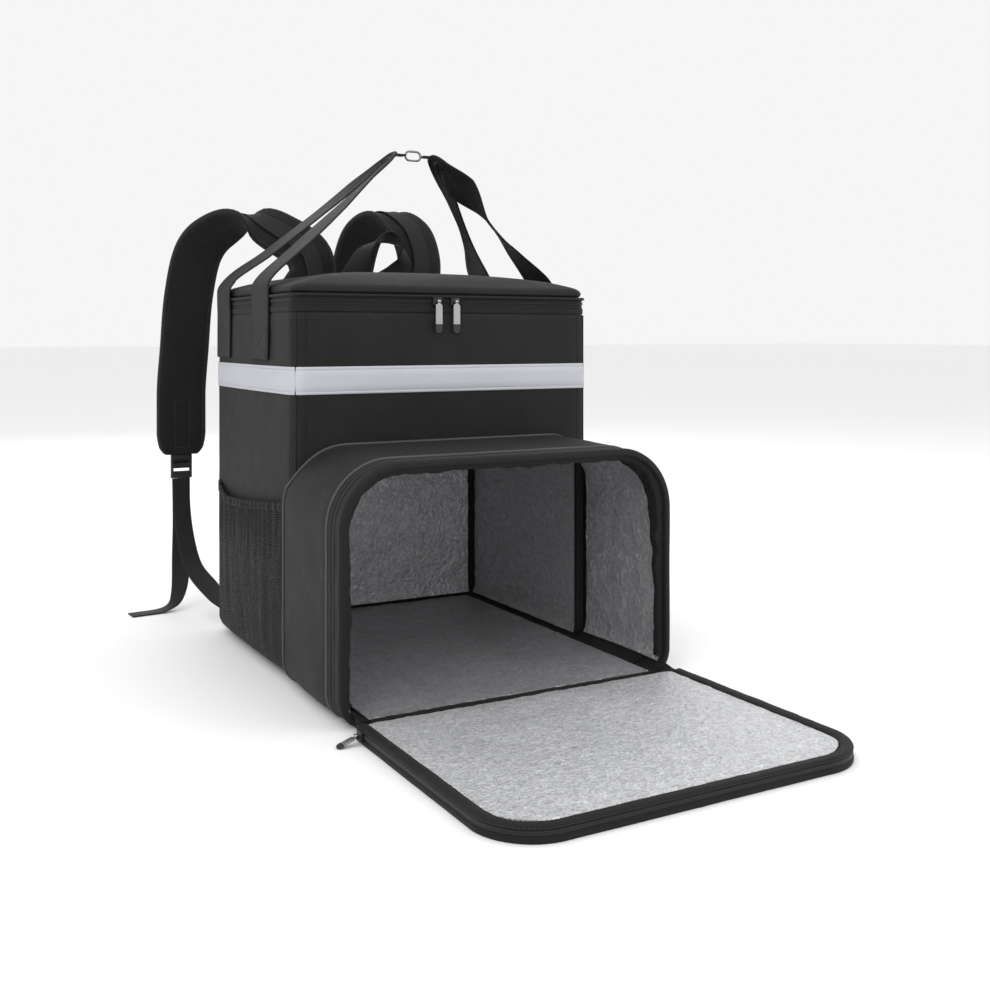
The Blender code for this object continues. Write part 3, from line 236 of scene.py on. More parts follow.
@dataclass(frozen=True)
class Finish:
    """Base of every finish: one material on one Principled shader."""

    name: str
    colour: Colour
    roughness: float
    metallic: float = 0.0

    def start(self) -> tuple[Material, Graph, Node, NodeSocket]:
        """Make the material; return it, its graph, its shader and its object coordinates."""
        material = bpy.data.materials.new(self.name)
        material.use_nodes = True
        shader = material.node_tree.nodes["Principled BSDF"]
        graph = Graph(material.node_tree)
        graph.wire(shader, {"Base Color": (*self.colour, 1.0), "Roughness": self.roughness,
                            "Metallic": self.metallic})
        return material, graph, shader, graph.node("ShaderNodeTexCoord").outputs["Object"]

    def tint(self, factor: float) -> tuple[float, float, float, float]:
        """Return the finish's colour made lighter or darker."""
        return (*[min(part * factor, 1.0) for part in self.colour], 1.0)


@dataclass(frozen=True)
class ClothFinish(Finish):
    """Woven cloth, tape or webbing."""

    pitch: float = 0.0011
    stretch: float = 1.0
    depth: float = 0.0004
    sheen: float = 0.02
    contrast: float = 0.35
    dust: float = 0.35
    specular: float = 0.25

    def material(self, effects: Effects) -> Material:
        """Return the finish as a material."""
        material, g, shader, place = self.start()
        cloth = g.node("ShaderNodeUVMap", uv_map=UV_NAME).outputs[0]
        threads = g.group(effects.weave, {"Coordinates": cloth, "Pitch": self.pitch,
                                          "Stretch": self.stretch})["Height"]
        mottle = g.group(effects.mottle, {"Coordinates": place})
        base = g.mix(mottle["Shade"], self.tint(1 - self.contrast), self.tint(1 + self.contrast))
        base = g.mix(g.math("MULTIPLY", threads, 0.45), base, self.tint(1.5))
        base = g.mix(g.math("MULTIPLY", mottle["Dust"], self.dust), base, self.tint(3.0))
        rough = g.ramp(mottle["Rub"], 0.0, 1.0, self.roughness, self.roughness - 0.12)
        g.wire(shader, {"Base Color": base, "Roughness": rough, "Normal": g.bump(0.6, self.depth, threads),
                        "Sheen Weight": self.sheen, "Specular IOR Level": self.specular})
        return material


@dataclass(frozen=True)
class MeshFinish(Finish):
    """Open knitted mesh with see-through holes."""

    pitch: float = 0.0026
    open_share: float = 0.30

    def material(self, effects: Effects) -> Material:
        """Return the finish as a material."""
        material, g, shader, _place = self.start()
        cloth = g.node("ShaderNodeUVMap", uv_map=UV_NAME).outputs[0]
        cells = g.node("ShaderNodeTexVoronoi", {"Vector": cloth, "Scale": 1.0 / self.pitch, "Randomness": 0.15})
        rim = g.ramp(cells.outputs["Distance"], self.open_share, self.open_share + 0.12)
        g.wire(shader, {"Base Color": g.mix(rim, self.tint(0.4), self.tint(1.3)),
                        "Alpha": g.math("MAXIMUM", rim, 0.45), "Normal": g.bump(0.7, 0.0006, rim)})
        return material


@dataclass(frozen=True)
class FoilFinish(Finish):
    """Crinkled aluminium laminate."""

    scale: float = 60.0
    depth: float = 0.0012
    contrast: float = 0.25

    def material(self, effects: Effects) -> Material:
        """Return the finish as a material."""
        material, g, shader, place = self.start()
        crumple = g.group(effects.crumple, {"Coordinates": place, "Scale": self.scale})
        mottle = g.group(effects.mottle, {"Coordinates": place, "Scale": 9.0})
        base = g.mix(crumple["Facet"], self.tint(1 - self.contrast), self.tint(1 + self.contrast * 0.4))
        base = g.mix(g.math("MULTIPLY", mottle["Rub"], 0.35), base, self.tint(0.7))
        rough = g.ramp(mottle["Shade"], 0.0, 1.0, self.roughness - 0.06, self.roughness + 0.10)
        g.wire(shader, {"Base Color": base, "Roughness": rough,
                        "Normal": g.bump(0.9, self.depth, crumple["Height"])})
        return material


@dataclass(frozen=True)
class HardFinish(Finish):
    """Metal or plastic with fine scratches and rubbed patches."""

    grain: float = 900.0
    depth: float = 0.00008
    wear: float = 1.3

    def material(self, effects: Effects) -> Material:
        """Return the finish as a material."""
        material, g, shader, place = self.start()
        mottle = g.group(effects.mottle, {"Coordinates": place, "Scale": 60.0})
        base = g.mix(mottle["Rub"], self.tint(1.0), self.tint(self.wear))
        rough = g.ramp(mottle["Shade"], 0.0, 1.0, self.roughness - 0.06, self.roughness + 0.08)
        skin = g.noise(place, self.grain, 3.0).outputs[0]
        g.wire(shader, {"Base Color": base, "Roughness": rough, "Normal": g.bump(0.4, self.depth, skin)})
        return material


def grey(level: float, blue: float = 0.0) -> Colour:
    """Return a grey with a little more blue."""
    return level, level, level + blue


class Finishes:
    """Every material of the backpack."""

    def __init__(self) -> None:
        """Build the shared effects and then each material."""
        finishes = {
            "oxford": ClothFinish("black_oxford", grey(0.0085, 0.0007), 0.64, specular=0.22),
            "tape": ClothFinish("zip_tape_cloth", grey(0.0060, 0.0006), 0.68, pitch=0.0009, stretch=2.5),
            "webbing": ClothFinish("ribbed_webbing", grey(0.0090, 0.0007), 0.66, pitch=0.0016, stretch=1.8,
                                   contrast=0.18),
            "pad": ClothFinish("spacer_mesh_pad", grey(0.0065, 0.0006), 0.80, pitch=0.0022, depth=0.0008,
                               contrast=0.25),
            "pocket": MeshFinish("pocket_mesh_knit", grey(0.0080, 0.0006), 0.8),
            "trim": ClothFinish("grey_piping", grey(0.060, 0.003), 0.5, pitch=0.0008, contrast=0.15),
            "binding": ClothFinish("black_binding", grey(0.0070, 0.0006), 0.6, pitch=0.0009, stretch=2.0),
            "reflective": ClothFinish("reflective_tape_glass_bead", (0.40, 0.41, 0.44), 0.42, pitch=0.0007,
                                      depth=0.0001, contrast=0.06, dust=0.05, specular=0.6),
            "foil": FoilFinish("silver_foil_face", (0.68, 0.685, 0.70), 0.38, 0.45, scale=240.0,
                               depth=0.0009, contrast=0.42),
            "lining": FoilFinish("silver_foil_lining", (0.56, 0.565, 0.58), 0.34, 0.60, scale=150.0,
                                 contrast=0.32),
            "thread": ClothFinish("sewing_thread", grey(0.045, 0.003), 0.55, pitch=0.0005, contrast=0.1,
                                  dust=0.0),
            "pale_thread": ClothFinish("pale_thread", (0.42, 0.43, 0.45), 0.55, pitch=0.0005, contrast=0.1,
                                       dust=0.0),
            "nickel": HardFinish("satin_nickel", grey(0.40, 0.01), 0.30, 1.0),
            "clasp": HardFinish("dark_clasp_metal", grey(0.22, 0.01), 0.34, 0.9, depth=0.00001),
            "black_metal": HardFinish("black_enamel_metal", grey(0.012, 0.001), 0.34, 0.4, wear=2.2),
            "plastic": HardFinish("moulded_black_plastic", grey(0.016, 0.001), 0.42, wear=1.6),
            "rubber": HardFinish("black_rubber_grip", grey(0.014, 0.001), 0.55),
            "teeth": HardFinish("nylon_zip_teeth", grey(0.022, 0.001), 0.35),
        }
        effects = Effects()
        for key, finish in finishes.items():
            setattr(self, key, finish.material(effects))


# Mesh making


@dataclass
class Draft:
    """Vertices, faces and cloth coordinates of a mesh in the making."""

    points: list[Vector] = field(default_factory=list)
    cloth: list[tuple[float, float]] = field(default_factory=list)
    faces: list[tuple[int, ...]] = field(default_factory=list)

    def add(self, point: Vector, u: float, v: float) -> int:
        """Add a point with its cloth coordinates and return its number."""
        self.points.append(point)
        self.cloth.append((u, v))
        return len(self.points) - 1

    def wall(self, outer: Grid, inner: Grid) -> None:
        """Close two grids of points, [column][row], into one solid wall."""
        rows = len(outer[0])
        middle = rows // 2
        us = [0.0]
        for near, far in zip(outer, outer[1:]):
            us.append(us[-1] + (far[middle] - near[middle]).length)
        column = outer[len(outer) // 2]
        vs = [0.0]
        for low, high in zip(column, column[1:]):
            vs.append(vs[-1] + (high - low).length)
        out, ins = [
            [[self.add(p, u, v) for p, v in zip(line, vs)] for line, u in zip(grid, us)]
            for grid in (outer, inner)
        ]
        last = len(out) - 1
        for i in range(last):
            for j in range(rows - 1):
                self.faces.append((out[i][j], out[i + 1][j], out[i + 1][j + 1], out[i][j + 1]))
                self.faces.append((ins[i][j], ins[i][j + 1], ins[i + 1][j + 1], ins[i + 1][j]))
            self.faces.append((out[i][0], ins[i][0], ins[i + 1][0], out[i + 1][0]))
            self.faces.append((out[i][-1], out[i + 1][-1], ins[i + 1][-1], ins[i][-1]))
        for j in range(rows - 1):
            self.faces.append((out[0][j], out[0][j + 1], ins[0][j + 1], ins[0][j]))
            self.faces.append((out[-1][j], ins[-1][j], ins[-1][j + 1], out[-1][j + 1]))

    def loft(self, sections: list[list[Vector]]) -> None:
        """Loft closed sections of equal count and cap both ends."""
        count = len(sections[0])
        around = [0.0]
        for i in range(count):
            around.append(around[-1] + (sections[0][(i + 1) % count] - sections[0][i]).length)
        loops = []
        along = 0.0
        for k, section in enumerate(sections):
            if k:
                centre = sum(section, Vector()) / count
                before = sum(sections[k - 1], Vector()) / count
                along += (centre - before).length
            loops.append([self.add(p, along, around[i]) for i, p in enumerate(section)])
        for near, far in zip(loops, loops[1:]):
            for i in range(count):
                k = (i + 1) % count
                self.faces.append((near[i], near[k], far[k], far[i]))
        self.faces.append(tuple(reversed(loops[0])))
        self.faces.append(tuple(loops[-1]))

    def build(self, name: str, material: Material, sharp: float = 50.0) -> Object:
        """Return the draft as an object with one material."""
        mesh = bpy.data.meshes.new(name)
        mesh.from_pydata(self.points, [], self.faces)
        layer = mesh.uv_layers.new(name=UV_NAME)
        for loop in mesh.loops:
            layer.data[loop.index].uv = self.cloth[loop.vertex_index]
        item = bpy.data.objects.new(name, mesh)
        bpy.context.scene.collection.objects.link(item)
        mesh.materials.append(material)
        return tidy(item, sharp)


def walled(name: str, sides: tuple[Grid, Grid], material: Material,
           sharp: float = 50.0) -> Object:
    """Return an outer and an inner grid of points as one closed object."""
    draft = Draft()
    draft.wall(*sides)
    return draft.build(name, material, sharp)


def tidy(item: Object, sharp: float = 50.0) -> Object:
    """Turn an object's faces outwards and shade it smooth up to an angle."""
    bm = bmesh.new()
    bm.from_mesh(item.data)
    bmesh.ops.recalc_face_normals(bm, faces=bm.faces)
    bm.to_mesh(item.data)
    bm.free()
    item.data.shade_smooth()
    item.data.set_sharp_from_angle(angle=math.radians(sharp))
    return item


def box_cloth(item: Object) -> None:
    """Give a mesh cloth coordinates in metres from its faces' directions."""
    mesh = item.data
    layer = mesh.uv_layers.get(UV_NAME) or mesh.uv_layers.new(name=UV_NAME)
    for face in mesh.polygons:
        across = max(range(3), key=lambda k: abs(face.normal[k]))
        first, second = [k for k in range(3) if k != across]
        for index in face.loop_indices:
            point = mesh.vertices[mesh.loops[index].vertex_index].co
            layer.data[index].uv = (point[first], point[second])


def copy_node(name: str, node: str, material: Material) -> Object:
    """Return a merged copy of a CAD node's mesh as a new object."""
    bm = bmesh.new()
    bm.from_mesh(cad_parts[node].data)
    bmesh.ops.remove_doubles(bm, verts=bm.verts, dist=0.00002)
    bmesh.ops.join_triangles(bm, faces=bm.faces, angle_face_threshold=0.5, angle_shape_threshold=0.9)
    mesh = bpy.data.meshes.new(name)
    bm.to_mesh(mesh)
    bm.free()
    for layer in list(mesh.uv_layers):
        mesh.uv_layers.remove(layer)
    mesh.materials.clear()
    mesh.materials.append(material)
    item = bpy.data.objects.new(name, mesh)
    bpy.context.scene.collection.objects.link(item)
    return item


def settle(item: Object) -> Object:
    """Apply an object's modifiers to its mesh."""
    graph = bpy.context.evaluated_depsgraph_get()
    mesh = bpy.data.meshes.new_from_object(item.evaluated_get(graph))
    item.modifiers.clear()
    item.data = mesh
    return item


def relief(point: Vector, seed: float, broad: float, fine: float) -> float:
    """Return the gentle unevenness of cloth over foam at a point."""
    shift = Vector((seed, seed * 0.7, -seed))
    wave = noise.noise(point * 9.0 + shift) * broad
    ripple = noise.noise(point * 34.0 - shift) * fine
    crease = max(0.0, 1.0 - abs(noise.noise(point * 7.0 + shift * 2)) * 14.0)
    return wave + ripple - crease * broad * 0.45


def swell(item: Object, shrink: float, cap: float, voxel: float, held: Callable[[Vector], float],
          pressure: float = 4.0) -> Object:
    """Puff a padded piece by cloth simulation and smooth it.

    Args:
        item: closed mesh to puff, replaced in place.
        shrink: distance that the surface is drawn in first.
        cap: farthest that any point may move.
        voxel: size of the remeshed faces.
        held: returns how firmly a point is sewn in place, 0 to 1.
        pressure: pressure inside the piece.

    Returns:
        The same object with its new mesh.
    """
    remesh = item.modifiers.new("even", "REMESH")
    remesh.mode = "VOXEL"
    remesh.voxel_size = voxel
    settle(item)
    for vertex, normal in zip(item.data.vertices, [v.normal.copy() for v in item.data.vertices]):
        vertex.co -= normal * shrink
    start = [vertex.co.copy() for vertex in item.data.vertices]
    rim = item.vertex_groups.new(name="rim")
    for vertex in item.data.vertices:
        rim.add([vertex.index], held(vertex.co), "REPLACE")
    scene = bpy.context.scene
    cloth = item.modifiers.new("puff", "CLOTH")
    cloth.settings.use_pressure = True
    cloth.settings.uniform_pressure_force = pressure
    cloth.settings.effector_weights.gravity = 0.0
    cloth.settings.vertex_group_mass = "rim"
    cloth.settings.quality = 4
    cloth.settings.mass = 0.3
    cloth.point_cache.frame_start = 1
    cloth.point_cache.frame_end = PUFF_FRAMES
    for step in range(1, PUFF_FRAMES + 1):
        scene.frame_set(step)
    settle(item)
    scene.frame_set(1)
    for vertex, origin in zip(item.data.vertices, start):
        move = (vertex.co - origin) * (1 - held(origin))
        if move.length > cap:
            move *= cap / move.length
        vertex.co = origin + move
    bm = bmesh.new()
    bm.from_mesh(item.data)
    for _turn in range(3):
        bmesh.ops.smooth_vert(bm, verts=bm.verts, factor=0.5, use_axis_x=True, use_axis_y=True, use_axis_z=True)
    bm.to_mesh(item.data)
    bm.free()
    item.data.shade_smooth()
    return item


# Repeated details


class Repeat(Enum):
    """Small shapes that repeat along a line."""

    STITCH = "stitch"
    TOOTH = "tooth"


@dataclass
class Seamstress:
    """Sets stitches and zip teeth along lines with Geometry Nodes."""

    trees: dict[Repeat, NodeTree] = field(default_factory=dict)

    def tree(self, shape: Repeat) -> NodeTree:
        """Return the node tree that repeats a shape along lines."""
        if shape in self.trees:
            return self.trees[shape]
        tree = bpy.data.node_groups.new(f"repeat_{shape.value}", "GeometryNodeTree")
        for key, kind in (("Lines", "NodeSocketGeometry"), ("Spacing", "NodeSocketFloat"),
                          ("Size", "NodeSocketVector"), ("Material", "NodeSocketMaterial")):
            tree.interface.new_socket(key, in_out="INPUT", socket_type=kind)
        tree.interface.new_socket("Geometry", in_out="OUTPUT", socket_type="NodeSocketGeometry")
        g = Graph(tree)
        given = g.node("NodeGroupInput").outputs
        curve = g.node("GeometryNodeMeshToCurve", {0: given["Lines"]})
        even = g.node("GeometryNodeResampleCurve", {"Curve": curve.outputs[0], "Length": given["Spacing"]},
                      mode="LENGTH")
        facing = g.node("GeometryNodeInputNamedAttribute", {"Name": "facing"}, data_type="FLOAT_VECTOR")
        tangent = g.node("GeometryNodeInputTangent")
        turn = g.node("FunctionNodeAxesToRotation", {0: tangent.outputs[0], 1: facing.outputs[0]},
                      primary_axis="X", secondary_axis="Z")
        if shape is Repeat.STITCH:
            unit = g.node("GeometryNodeMeshIcoSphere", {"Radius": 0.5, "Subdivisions": 1})
        else:
            unit = g.node("GeometryNodeMeshCylinder", {"Vertices": 6, "Radius": 0.5, "Depth": 1.0})
        shaped = g.node("GeometryNodeTransform", {"Geometry": unit.outputs[0], "Scale": given["Size"]})
        spread = g.node("GeometryNodeInstanceOnPoints", {"Points": even.outputs[0],
                                                         "Instance": shaped.outputs[0],
                                                         "Rotation": turn.outputs[0]})
        real = g.node("GeometryNodeRealizeInstances", {0: spread.outputs[0]})
        dressed = g.node("GeometryNodeSetMaterial", {"Geometry": real.outputs[0], "Material": given["Material"]})
        g.node("NodeGroupOutput", {0: dressed.outputs[0]})
        self.trees[shape] = tree
        return tree

    def sew(self, name: str, lines: list[Line], shape: Repeat, spacing: float,
            size: tuple[float, float, float], material: Material) -> Object:
        """Repeat a shape along lines and return the result as one mesh.

        Args:
            name: name of the new object.
            lines: lines of (point, facing direction) pairs.
            shape: the shape that repeats.
            spacing: distance between repeats.
            size: length along the line, width across it and height.
            material: material of the shapes.

        Returns:
            The new object.
        """
        mesh = bpy.data.meshes.new(name)
        points, edges, facing = [], [], []
        for line in lines:
            base = len(points)
            points += [point for point, _out in line]
            facing += [tuple(out) for _point, out in line]
            edges += [(base + k, base + k + 1) for k in range(len(line) - 1)]
        mesh.from_pydata(points, edges, [])
        layer = mesh.attributes.new("facing", "FLOAT_VECTOR", "POINT")
        for index, out in enumerate(facing):
            layer.data[index].vector = out
        item = bpy.data.objects.new(name, mesh)
        bpy.context.scene.collection.objects.link(item)
        modifier = item.modifiers.new("repeat", "NODES")
        modifier.node_group = self.tree(shape)
        sockets = {s.name: s.identifier for s in modifier.node_group.interface.items_tree if s.in_out == "INPUT"}
        modifier[sockets["Spacing"]] = spacing
        modifier[sockets["Size"]] = size
        modifier[sockets["Material"]] = material
        settle(item)
        for layer in list(item.data.attributes):
            if layer.name in ("facing", "UVMap"):
                item.data.attributes.remove(layer)
        item.data.shade_smooth()
        box_cloth(item)
        return item


# Shared forms of the bag


@dataclass
class BodyForm:
    """Sizes and skin of the main body."""

    width: float = 0.400
    depth: float = 0.310
    panel_top: float = 0.427
    seam: float = 0.447
    corner: float = 0.016
    foot_rounding: float = 0.025
    side_bulge: float = 0.003
    front_bulge: float = 0.002
    wall: float = 0.007

    @property
    def half_width(self) -> float:
        """Return half of the width."""
        return self.width / 2

    @property
    def half_depth(self) -> float:
        """Return half of the depth."""
        return self.depth / 2

    def tuck(self, z: float) -> float:
        """Return how far the wall draws in near the floor."""
        if z >= self.foot_rounding:
            return 0.0
        drop = self.foot_rounding - z
        return self.foot_rounding - math.sqrt(max(self.foot_rounding ** 2 - drop ** 2, 0.0))

    def lengths(self) -> tuple[float, float, float]:
        """Return the path lengths of a side, a corner and the front."""
        return (2 * (self.half_depth - self.corner), self.corner * math.pi / 2,
                2 * (self.half_width - self.corner))

    def wrap(self, s: float) -> tuple[float, float, float, float, float]:
        """Return (x, y, nx, ny, swell) at a place along the skin.

        Args:
            s: distance along the skin, 0 at the front's middle, positive to the right.

        Returns:
            Plan position, outward direction and the bulge at mid height.
        """
        side, turn, front = self.lengths()
        sign = 1.0 if s >= 0 else -1.0
        way = abs(s)
        cx = self.half_width - self.corner
        cy = self.half_depth - self.corner
        if way <= front / 2:
            along = way / (front / 2)
            return sign * way, -self.half_depth, 0.0, -1.0, self.front_bulge * (1 - along ** 2)
        way -= front / 2
        if way <= turn:
            angle = way / self.corner
            nx, ny = math.sin(angle), -math.cos(angle)
            return sign * (cx + nx * self.corner), -cy + ny * self.corner, sign * nx, ny, 0.0
        way -= turn
        if way <= side:
            along = lerp(-1.0, 1.0, way / side)
            swell = self.side_bulge * (1 - along ** 2)
            return sign * self.half_width, along * cy, sign, 0.0, swell
        angle = min((way - side) / self.corner, math.pi / 2)
        nx, ny = math.cos(angle), math.sin(angle)
        return sign * (cx + nx * self.corner), cy + ny * self.corner, sign * nx, ny, 0.0

    def skin(self, s: float, z: float, out: float = 0.0) -> Vector:
        """Return the point of the skin at a place along it and a height."""
        x, y, nx, ny, swell = self.wrap(s)
        fullness = math.sin(math.pi * min(max(z, 0.0) / self.seam, 1.0))
        reach = out + swell * fullness - self.tuck(z)
        return Vector((x + nx * reach, y + ny * reach, z))

    def facing(self, s: float) -> Vector:
        """Return the outward direction at a place along the skin."""
        _x, _y, nx, ny, _swell = self.wrap(s)
        return Vector((nx, ny, 0.0))

    @property
    def reach(self) -> float:
        """Return the path length from the front's middle to the back."""
        side, turn, front = self.lengths()
        return front / 2 + 2 * turn + side

    def side_s(self, sign: float, y: float) -> float:
        """Return the place along the skin of a depth on one side."""
        _side, turn, front = self.lengths()
        return sign * (front / 2 + turn + y + self.half_depth - self.corner)


@dataclass
class CompartmentForm:
    """Sizes and section of the front compartment."""

    body: BodyForm = field(default_factory=BodyForm)
    width: float = 0.414
    height: float = 0.274
    mouth_drop: float = 0.006
    gusset: float = 0.125
    mouth_band: float = 0.035
    top_rounding: float = 0.070
    foot_rounding: float = 0.030
    bulge: float = 0.003
    groove: float = 0.0046

    @property
    def front(self) -> float:
        """Return the depth of the gusset's front seam."""
        return -self.body.half_depth - self.gusset

    @property
    def band_rear(self) -> float:
        """Return the depth of the mouth band's rear edge."""
        return self.front - self.groove

    @property
    def mouth(self) -> float:
        """Return the depth of the mouth."""
        return self.band_rear - self.mouth_band

    def share(self, y: float) -> float:
        """Return a depth as a share from the body to the mouth."""
        return (y + self.body.half_depth) / (self.mouth + self.body.half_depth)

    def lengths(self) -> list[float]:
        """Return the lengths of the section's foot, side, shoulder and half top."""
        return [
            self.foot_rounding * math.pi / 2,
            self.height - self.top_rounding - self.foot_rounding,
            self.top_rounding * math.pi / 2,
            self.width / 2 - self.top_rounding,
        ]

    def section(self, t: float, share: float, out: float = 0.0) -> tuple[Vector, Vector]:
        """Return a point of the section and its outward direction, with y left at 0.

        Args:
            t: place on the section, -1 at the left foot, 0 at the top, 1 at the right foot.
            share: 0 at the body, 1 at the mouth.
            out: distance outside the skin.
        """
        sign = 1.0 if t >= 0 else -1.0
        parts = self.lengths()
        way = (1 - abs(t)) * sum(parts)
        top = self.height - self.mouth_drop * share
        half = self.width / 2 + self.bulge * math.sin(math.pi * min(max(share, 0.0), 1.0))
        foot, crown = self.foot_rounding, self.top_rounding
        if way <= parts[0]:
            angle = way / foot
            nx, nz = math.sin(angle), -math.cos(angle)
            x, z = half - foot + nx * foot, foot + nz * foot
        elif way <= parts[0] + parts[1]:
            nx, nz = 1.0, 0.0
            x, z = half, lerp(foot, top - crown, (way - parts[0]) / parts[1])
        elif way <= sum(parts[:3]):
            angle = (way - parts[0] - parts[1]) / crown
            nx, nz = math.cos(angle), math.sin(angle)
            x, z = half - crown + nx * crown, top - crown + nz * crown
        else:
            nx, nz = 0.0, 1.0
            x, z = half - crown - (way - sum(parts[:3])), top
        facing = Vector((sign * nx, 0.0, nz))
        return Vector((sign * x, 0.0, z)) + facing * out, facing

    def point(self, t: float, y: float, out: float = 0.0) -> Vector:
        """Return a point of the compartment's skin at a depth."""
        place, _facing = self.section(t, self.share(y), out)
        place.y = y
        return place

    def seam_depth(self, x: float, z: float, clearance: float) -> float:
        """Return the depth of a line a clearance ahead of the body's skin."""
        body = self.body
        straight = body.half_width - body.corner
        off = max(abs(x) - straight, 0.0)
        reach = max(body.corner - body.tuck(z), 0.0) + clearance
        if off == 0.0:
            swell_here = body.front_bulge * (1 - (x / straight) ** 2)
            reach += swell_here * math.sin(math.pi * z / body.seam)
        deep = math.sqrt(max(reach ** 2 - off ** 2, 0.0))
        return -(body.half_depth - body.corner) - max(deep, clearance)


@dataclass
class Maker:
    """Base of the classes that build sub-assemblies."""

    finishes: Finishes
    sewing: Seamstress
    body: BodyForm = field(default_factory=BodyForm)
    bay: CompartmentForm = field(default_factory=CompartmentForm)

    def place(self, item: Object, slot: str, *nodes: str, body: str = "root") -> Object:
        """Seat a finished piece on a body in place of CAD nodes and report it."""
        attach(item, body)
        if nodes:
            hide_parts(*nodes)
        LOG.info("%s: %d faces on %s", item.name, len(item.data.polygons), body)
        return item

    def stitches(self, name: str, lines: list[Line], material=None,
                 spacing: float = 0.0042, size: tuple[float, float, float] = (0.0031, 0.0007, 0.0006),
                 body: str = "root") -> Object:
        """Sew stitches along lines and seat them on a body."""
        thread = material or self.finishes.thread
        item = self.sewing.sew(name, lines, Repeat.STITCH, spacing, size, thread)
        return self.place(item, "webbing", body=body)

    def teeth(self, name: str, lines: list[Line], spacing: float = 0.0018,
              size: tuple[float, float, float] = (0.0011, 0.0011, 0.0022)) -> None:
        """Set zip teeth along lines and seat them."""
        item = self.sewing.sew(name, lines, Repeat.TOOTH, spacing, size, self.finishes.teeth)
        self.place(item, "zip_tape")

    def cad_cloth(self, name: str, node: str) -> None:
        """Build a flat padded piece from its CAD shape with cloth coordinates."""
        item = tidy(copy_node(name, node, self.finishes.oxford))
        box_cloth(item)
        self.place(item, "oxford", node)

    def tube(self, name: str, path: list[Vector], radius: float, material, sides: int = 8) -> Object:
        """Return a round cord along a path."""
        draft = Draft()
        sections = []
        last = len(path) - 1
        across = None
        for i, point in enumerate(path):
            tangent = (path[min(i + 1, last)] - path[max(i - 1, 0)]).normalized()
            if across is None:
                guide = Vector((0.0, 0.0, 1.0)) if abs(tangent.z) < 0.9 else Vector((1.0, 0.0, 0.0))
                across = tangent.cross(guide).normalized()
            across = (across - across.dot(tangent) * tangent).normalized()
            third = tangent.cross(across)
            sections.append([point + radius * (math.cos(2 * math.pi * k / sides) * across
                                               + math.sin(2 * math.pi * k / sides) * third)
                             for k in range(sides)])
        draft.loft(sections)
        return draft.build(name, material, 60.0)


